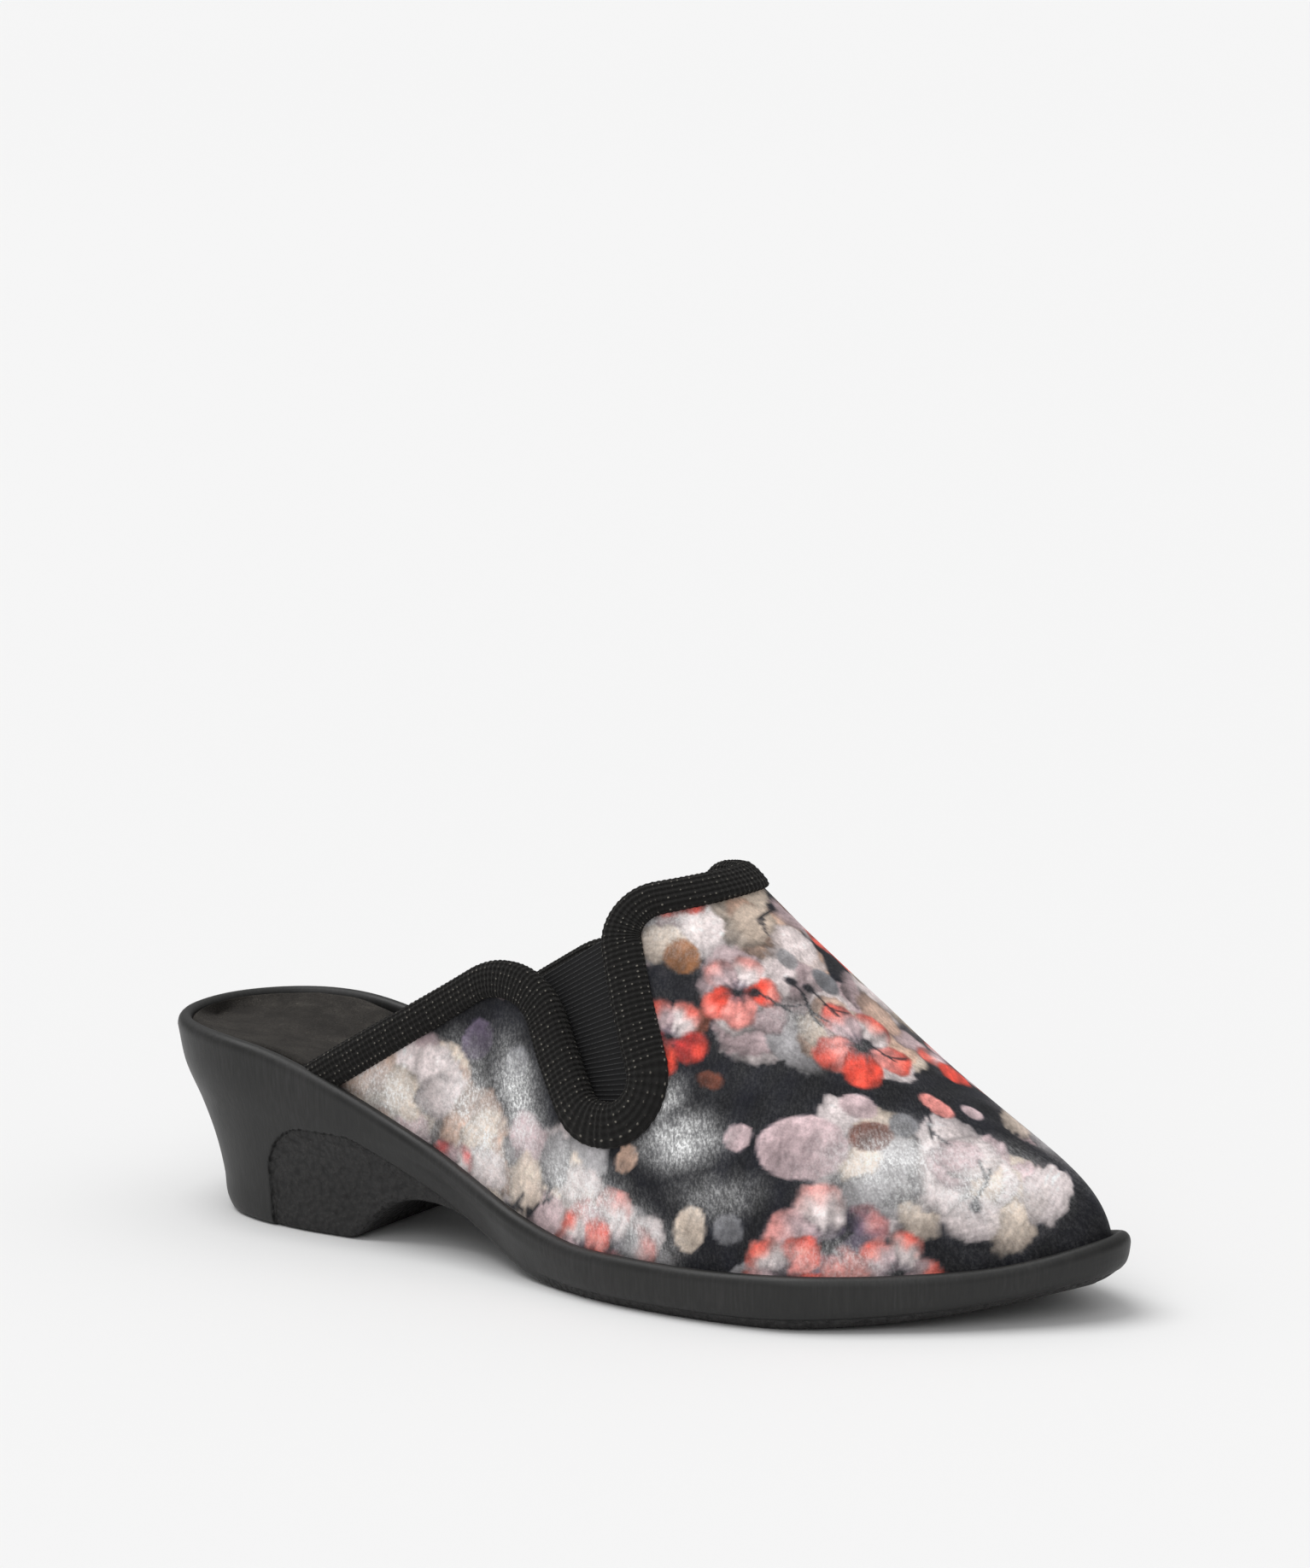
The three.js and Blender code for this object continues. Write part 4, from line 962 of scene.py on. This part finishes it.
def upper_pieces():
    x, across, faces, _ = cloth_grid(0.85)
    points, normal = cloth_points(x, across, 0)
    up_side = face(x, np.zeros_like(x))
    cloth = np.stack([x, np.sign(across) * np.linalg.norm(points - up_side, axis=1), 0 * x], -1)
    # The flat-pile layer holds a painted highlight: how much white goes into the velour's colour.
    layers = {"dye": printed(points, normal), "painted_sheen": painted_sheen_amount(points)[:, None], "cloth": cloth}
    velour = piece("velour_upper", points, faces, velour_material(), layers, closed=False,
        replaces=["upper"])
    thicken(velour, VELOUR)
    x, across, faces, _ = cloth_grid(2.2)
    points, _ = cloth_points(x, across, VELOUR + 0.05)
    lining = piece("brushed_lining", points, faces, lining_material(), closed=False)
    thicken(lining, WALL - VELOUR - 0.05)
    return velour, lining


# Binding

# Section of the folded tape: distance onto the fabric and height over its outer face, all the way round
TAPE_SECTION = table("onto height",
    (6.35, 0.15), (6.6, 0.7), (6.35, 1.35), (5.6, 1.75), (4.4, 1.98), (2.8, 2.1), (1.2, 2.1), (-0.1, 1.9),
    (-1.15, 1.35), (-1.8, 0.5), (-2.0, -0.6), (-1.85, -1.75), (-1.25, -2.75), (-0.2, -3.35), (1.4, -3.55),
    (3.2, -3.55), (4.9, -3.45), (5.9, -3.15), (6.2, -2.6), (5.6, -2.12), (3.0, -2.1), (0.6, -2.1),
    (-0.1, -1.6), (-0.2, -1.0), (-0.1, -0.3), (0.6, 0.08), (3.0, 0.1), (5.2, 0.1))
STITCH_PITCH = 1.35


def closed_curve(points, count):
    """Evenly spaced points on the smooth closed curve through a ring of points."""
    n = len(points)
    t = np.linspace(0, n, n * 12, endpoint=False)
    i = t.astype(int)
    u = (t - i)[:, None]
    p0, p1, p2, p3 = (points[(i + k) % n] for k in (-1, 0, 1, 2))
    fine = 0.5 * (2 * p1 + (p2 - p0) * u + (2 * p0 - 5 * p1 + 4 * p2 - p3) * u**2
        + (3 * p1 - p0 - 3 * p2 + p3) * u**3)
    fine = np.concatenate((fine, fine[:1]))
    length = np.concatenate(([0], np.cumsum(np.linalg.norm(np.diff(fine, axis=0), axis=1))))
    at = np.linspace(0, length[-1], count, endpoint=False)
    return np.stack([np.interp(at, length, fine[:, 0]), np.interp(at, length, fine[:, 1])], -1), at


def binding_piece():
    """The section carried along the collar: each of its points walks onto the fabric by its own
    distance and rises by its own height; stitches swell it in a diagonal lattice. Both ends are
    closed, and tucked into the sole's recess."""
    x, across = collar_line(0.42)
    spots = face(x, across)
    kept = spots[:, 2] > rim(spots[:, 0]) - 3.5
    x, across, spots = x[kept], across[kept], spots[kept]
    _, _, normal = face_frame(x, across)
    tangent = np.gradient(spots, axis=0)
    onto = unit(np.cross(tangent, normal))
    section, around = closed_curve(np.stack([TAPE_SECTION["onto"], TAPE_SECTION["height"]], -1), 72)
    ahead = np.roll(section, -1, axis=0) - np.roll(section, 1, axis=0)
    outward = unit(np.stack([ahead[:, 1], -ahead[:, 0]], -1))
    inward = (outward * (section - section.mean(0))).sum(-1).mean() < 0
    outward = -outward if inward else outward
    along = np.concatenate(([0], np.cumsum(np.linalg.norm(np.diff(spots, axis=0), axis=1))))
    u, v = np.pi * along[:, None] / STITCH_PITCH, np.pi * around[None, :] / STITCH_PITCH
    stitch = 0.20 * np.cos(u + v) * np.cos(u - v) + 0.10 * np.sin(along / 9)[:, None]
    share = 1 - abs(2 * along / along[-1] - 1)
    wider = 1 + 0.3 * smooth(0.38, 0.50, share) * smooth(0.95, 0.80, share)
    width = np.where(section[None, :, 0] > 0, wider[:, None], 1.0)
    cover = section[None, :, 0] * width + stitch * outward[None, :, 0]
    height = section[None, :, 1] + stitch * outward[None, :, 1]
    shape = cover.shape
    px, pa = walk(np.broadcast_to(x[:, None], shape), np.broadcast_to(across[:, None], shape),
        np.broadcast_to(onto[:, None], (*shape, 3)), cover)
    _, _, out = face_frame(px, pa)
    points = face(px, pa) + out * height[..., None]
    first, last = (np.broadcast_to(end.mean(0), (1, shape[1], 3)) for end in (points[0], points[-1]))
    points = np.concatenate((first, points, last))
    cloth = np.stack(np.broadcast_arrays(along[:, None], around[None, :], 0.0), -1)
    cloth = np.concatenate((cloth[:1], cloth, cloth[-1:]))
    faces = grid_faces(*points.shape[:2], round_columns=True)
    return piece("knitted_binding", points, faces, braid_material(), {"cloth": cloth},
        replaces=["binding"])


# Elastics

RIB_PITCH = 1.2


def gore_piece(side, name, stands_for):
    """The panel between its four corners in the side view, under the tape's inner leg, ribbed by a
    cosine parallel to its top edge."""
    low, high = np.array(GORE_LOW), np.array(GORE_HIGH)
    up, forth = np.meshgrid(np.linspace(0, 1, 190), np.linspace(0, 1, 50), indexing="ij")
    rear = low[0] + (high[0] - low[0]) * up[..., None]
    front = low[1] + (high[1] - low[1]) * up[..., None]
    at = (rear + (front - rear) * forth[..., None]) * [LENGTH, INSTEP_HEIGHT]
    x, across = locate(side, at[..., 0], at[..., 1])
    _, _, normal = face_frame(x, across)
    plain = face(x, across)
    rise = np.linalg.norm(np.diff(plain, axis=0), axis=-1).mean(1)
    rows = np.concatenate(([0], np.cumsum(rise)))[:, None] + 0 * up
    columns = np.linalg.norm(np.diff(plain, axis=1), axis=-1).mean(0)
    run = np.concatenate(([0], np.cumsum(columns)))[None, :] + 0 * up
    depth = WALL + TAPE_INSIDE + 2 * GAP - 0.05 * np.cos(2 * np.pi * rows / RIB_PITCH)
    points = plain - normal * depth[..., None]
    faces = grid_faces(*up.shape)
    outward = np.cross(points[1, 0] - points[0, 0], points[0, 1] - points[0, 0]) @ normal[0, 0]
    faces = faces[:, ::-1] if outward < 0 else faces
    cloth = np.stack([run, rows, 0 * up], -1)
    made = piece(name, points, faces, ELASTIC, {"cloth": cloth}, closed=False,
        replaces=[stands_for])
    thicken(made, GORE)
    return made


ELASTIC = elastic_material()
sole_piece()
insole_piece()
upper_pieces()
binding_piece()
gore_piece(-1.0, "elastic_outer", "gore_outer")
gore_piece(1.0, "elastic_inner", "gore_inner")


# Stage, light and camera

FLOOR_HALF = 30.0
floor_mesh = bpy.data.meshes.new("floor")
reach = FLOOR_HALF
floor_mesh.from_pydata([(-reach, -reach, 0), (reach, -reach, 0), (reach, reach, 0), (-reach, reach, 0)], [],
    [(0, 1, 2, 3)])
floor_mesh.materials.append(floor_material())
floor = bpy.data.objects.new("floor", floor_mesh)
bpy.context.collection.objects.link(floor)


def sun(name, turned, strength, softness):
    """A soft light from far away: turned in degrees, its disc as wide as the softness in degrees."""
    lamp = bpy.data.lights.new(name, "SUN")
    lamp.energy = strength
    lamp.angle = np.radians(softness)
    made = bpy.data.objects.new(name, lamp)
    made.rotation_euler = np.radians(turned)
    bpy.context.collection.objects.link(made)


sun("overhead", (12, -16, 0), 1.45, 45)
sun("front", (58, 0, 20), 0.5, 40)
world = bpy.data.worlds.new("studio")
world.use_nodes = True
way = add(world.node_tree, "TexCoord").outputs["Generated"]
height = add(world.node_tree, "SeparateXYZ", {"Vector": way}).outputs[2]
bright = add(world.node_tree, "MapRange", {"Value": height, "To Min": 0.2, "To Max": 0.75}).outputs[0]
world.node_tree.links.new(bright, world.node_tree.nodes["Background"].inputs["Strength"])
world.node_tree.nodes["Background"].inputs["Color"].default_value = (1, 1, 1, 1)
bpy.context.scene.world = world
bpy.context.scene.view_settings.view_transform = "Standard"

camera = bpy.data.cameras.new("camera")
camera.lens = 136.98
camera.sensor_width = 36
camera.clip_end = 100
viewer = bpy.data.objects.new("camera", camera)
viewer.location = (0.72287, -1.15458, 0.35493)
viewer.rotation_euler = np.radians((79.908, 0, 31.815))
bpy.context.collection.objects.link(viewer)
bpy.context.scene.camera = viewer
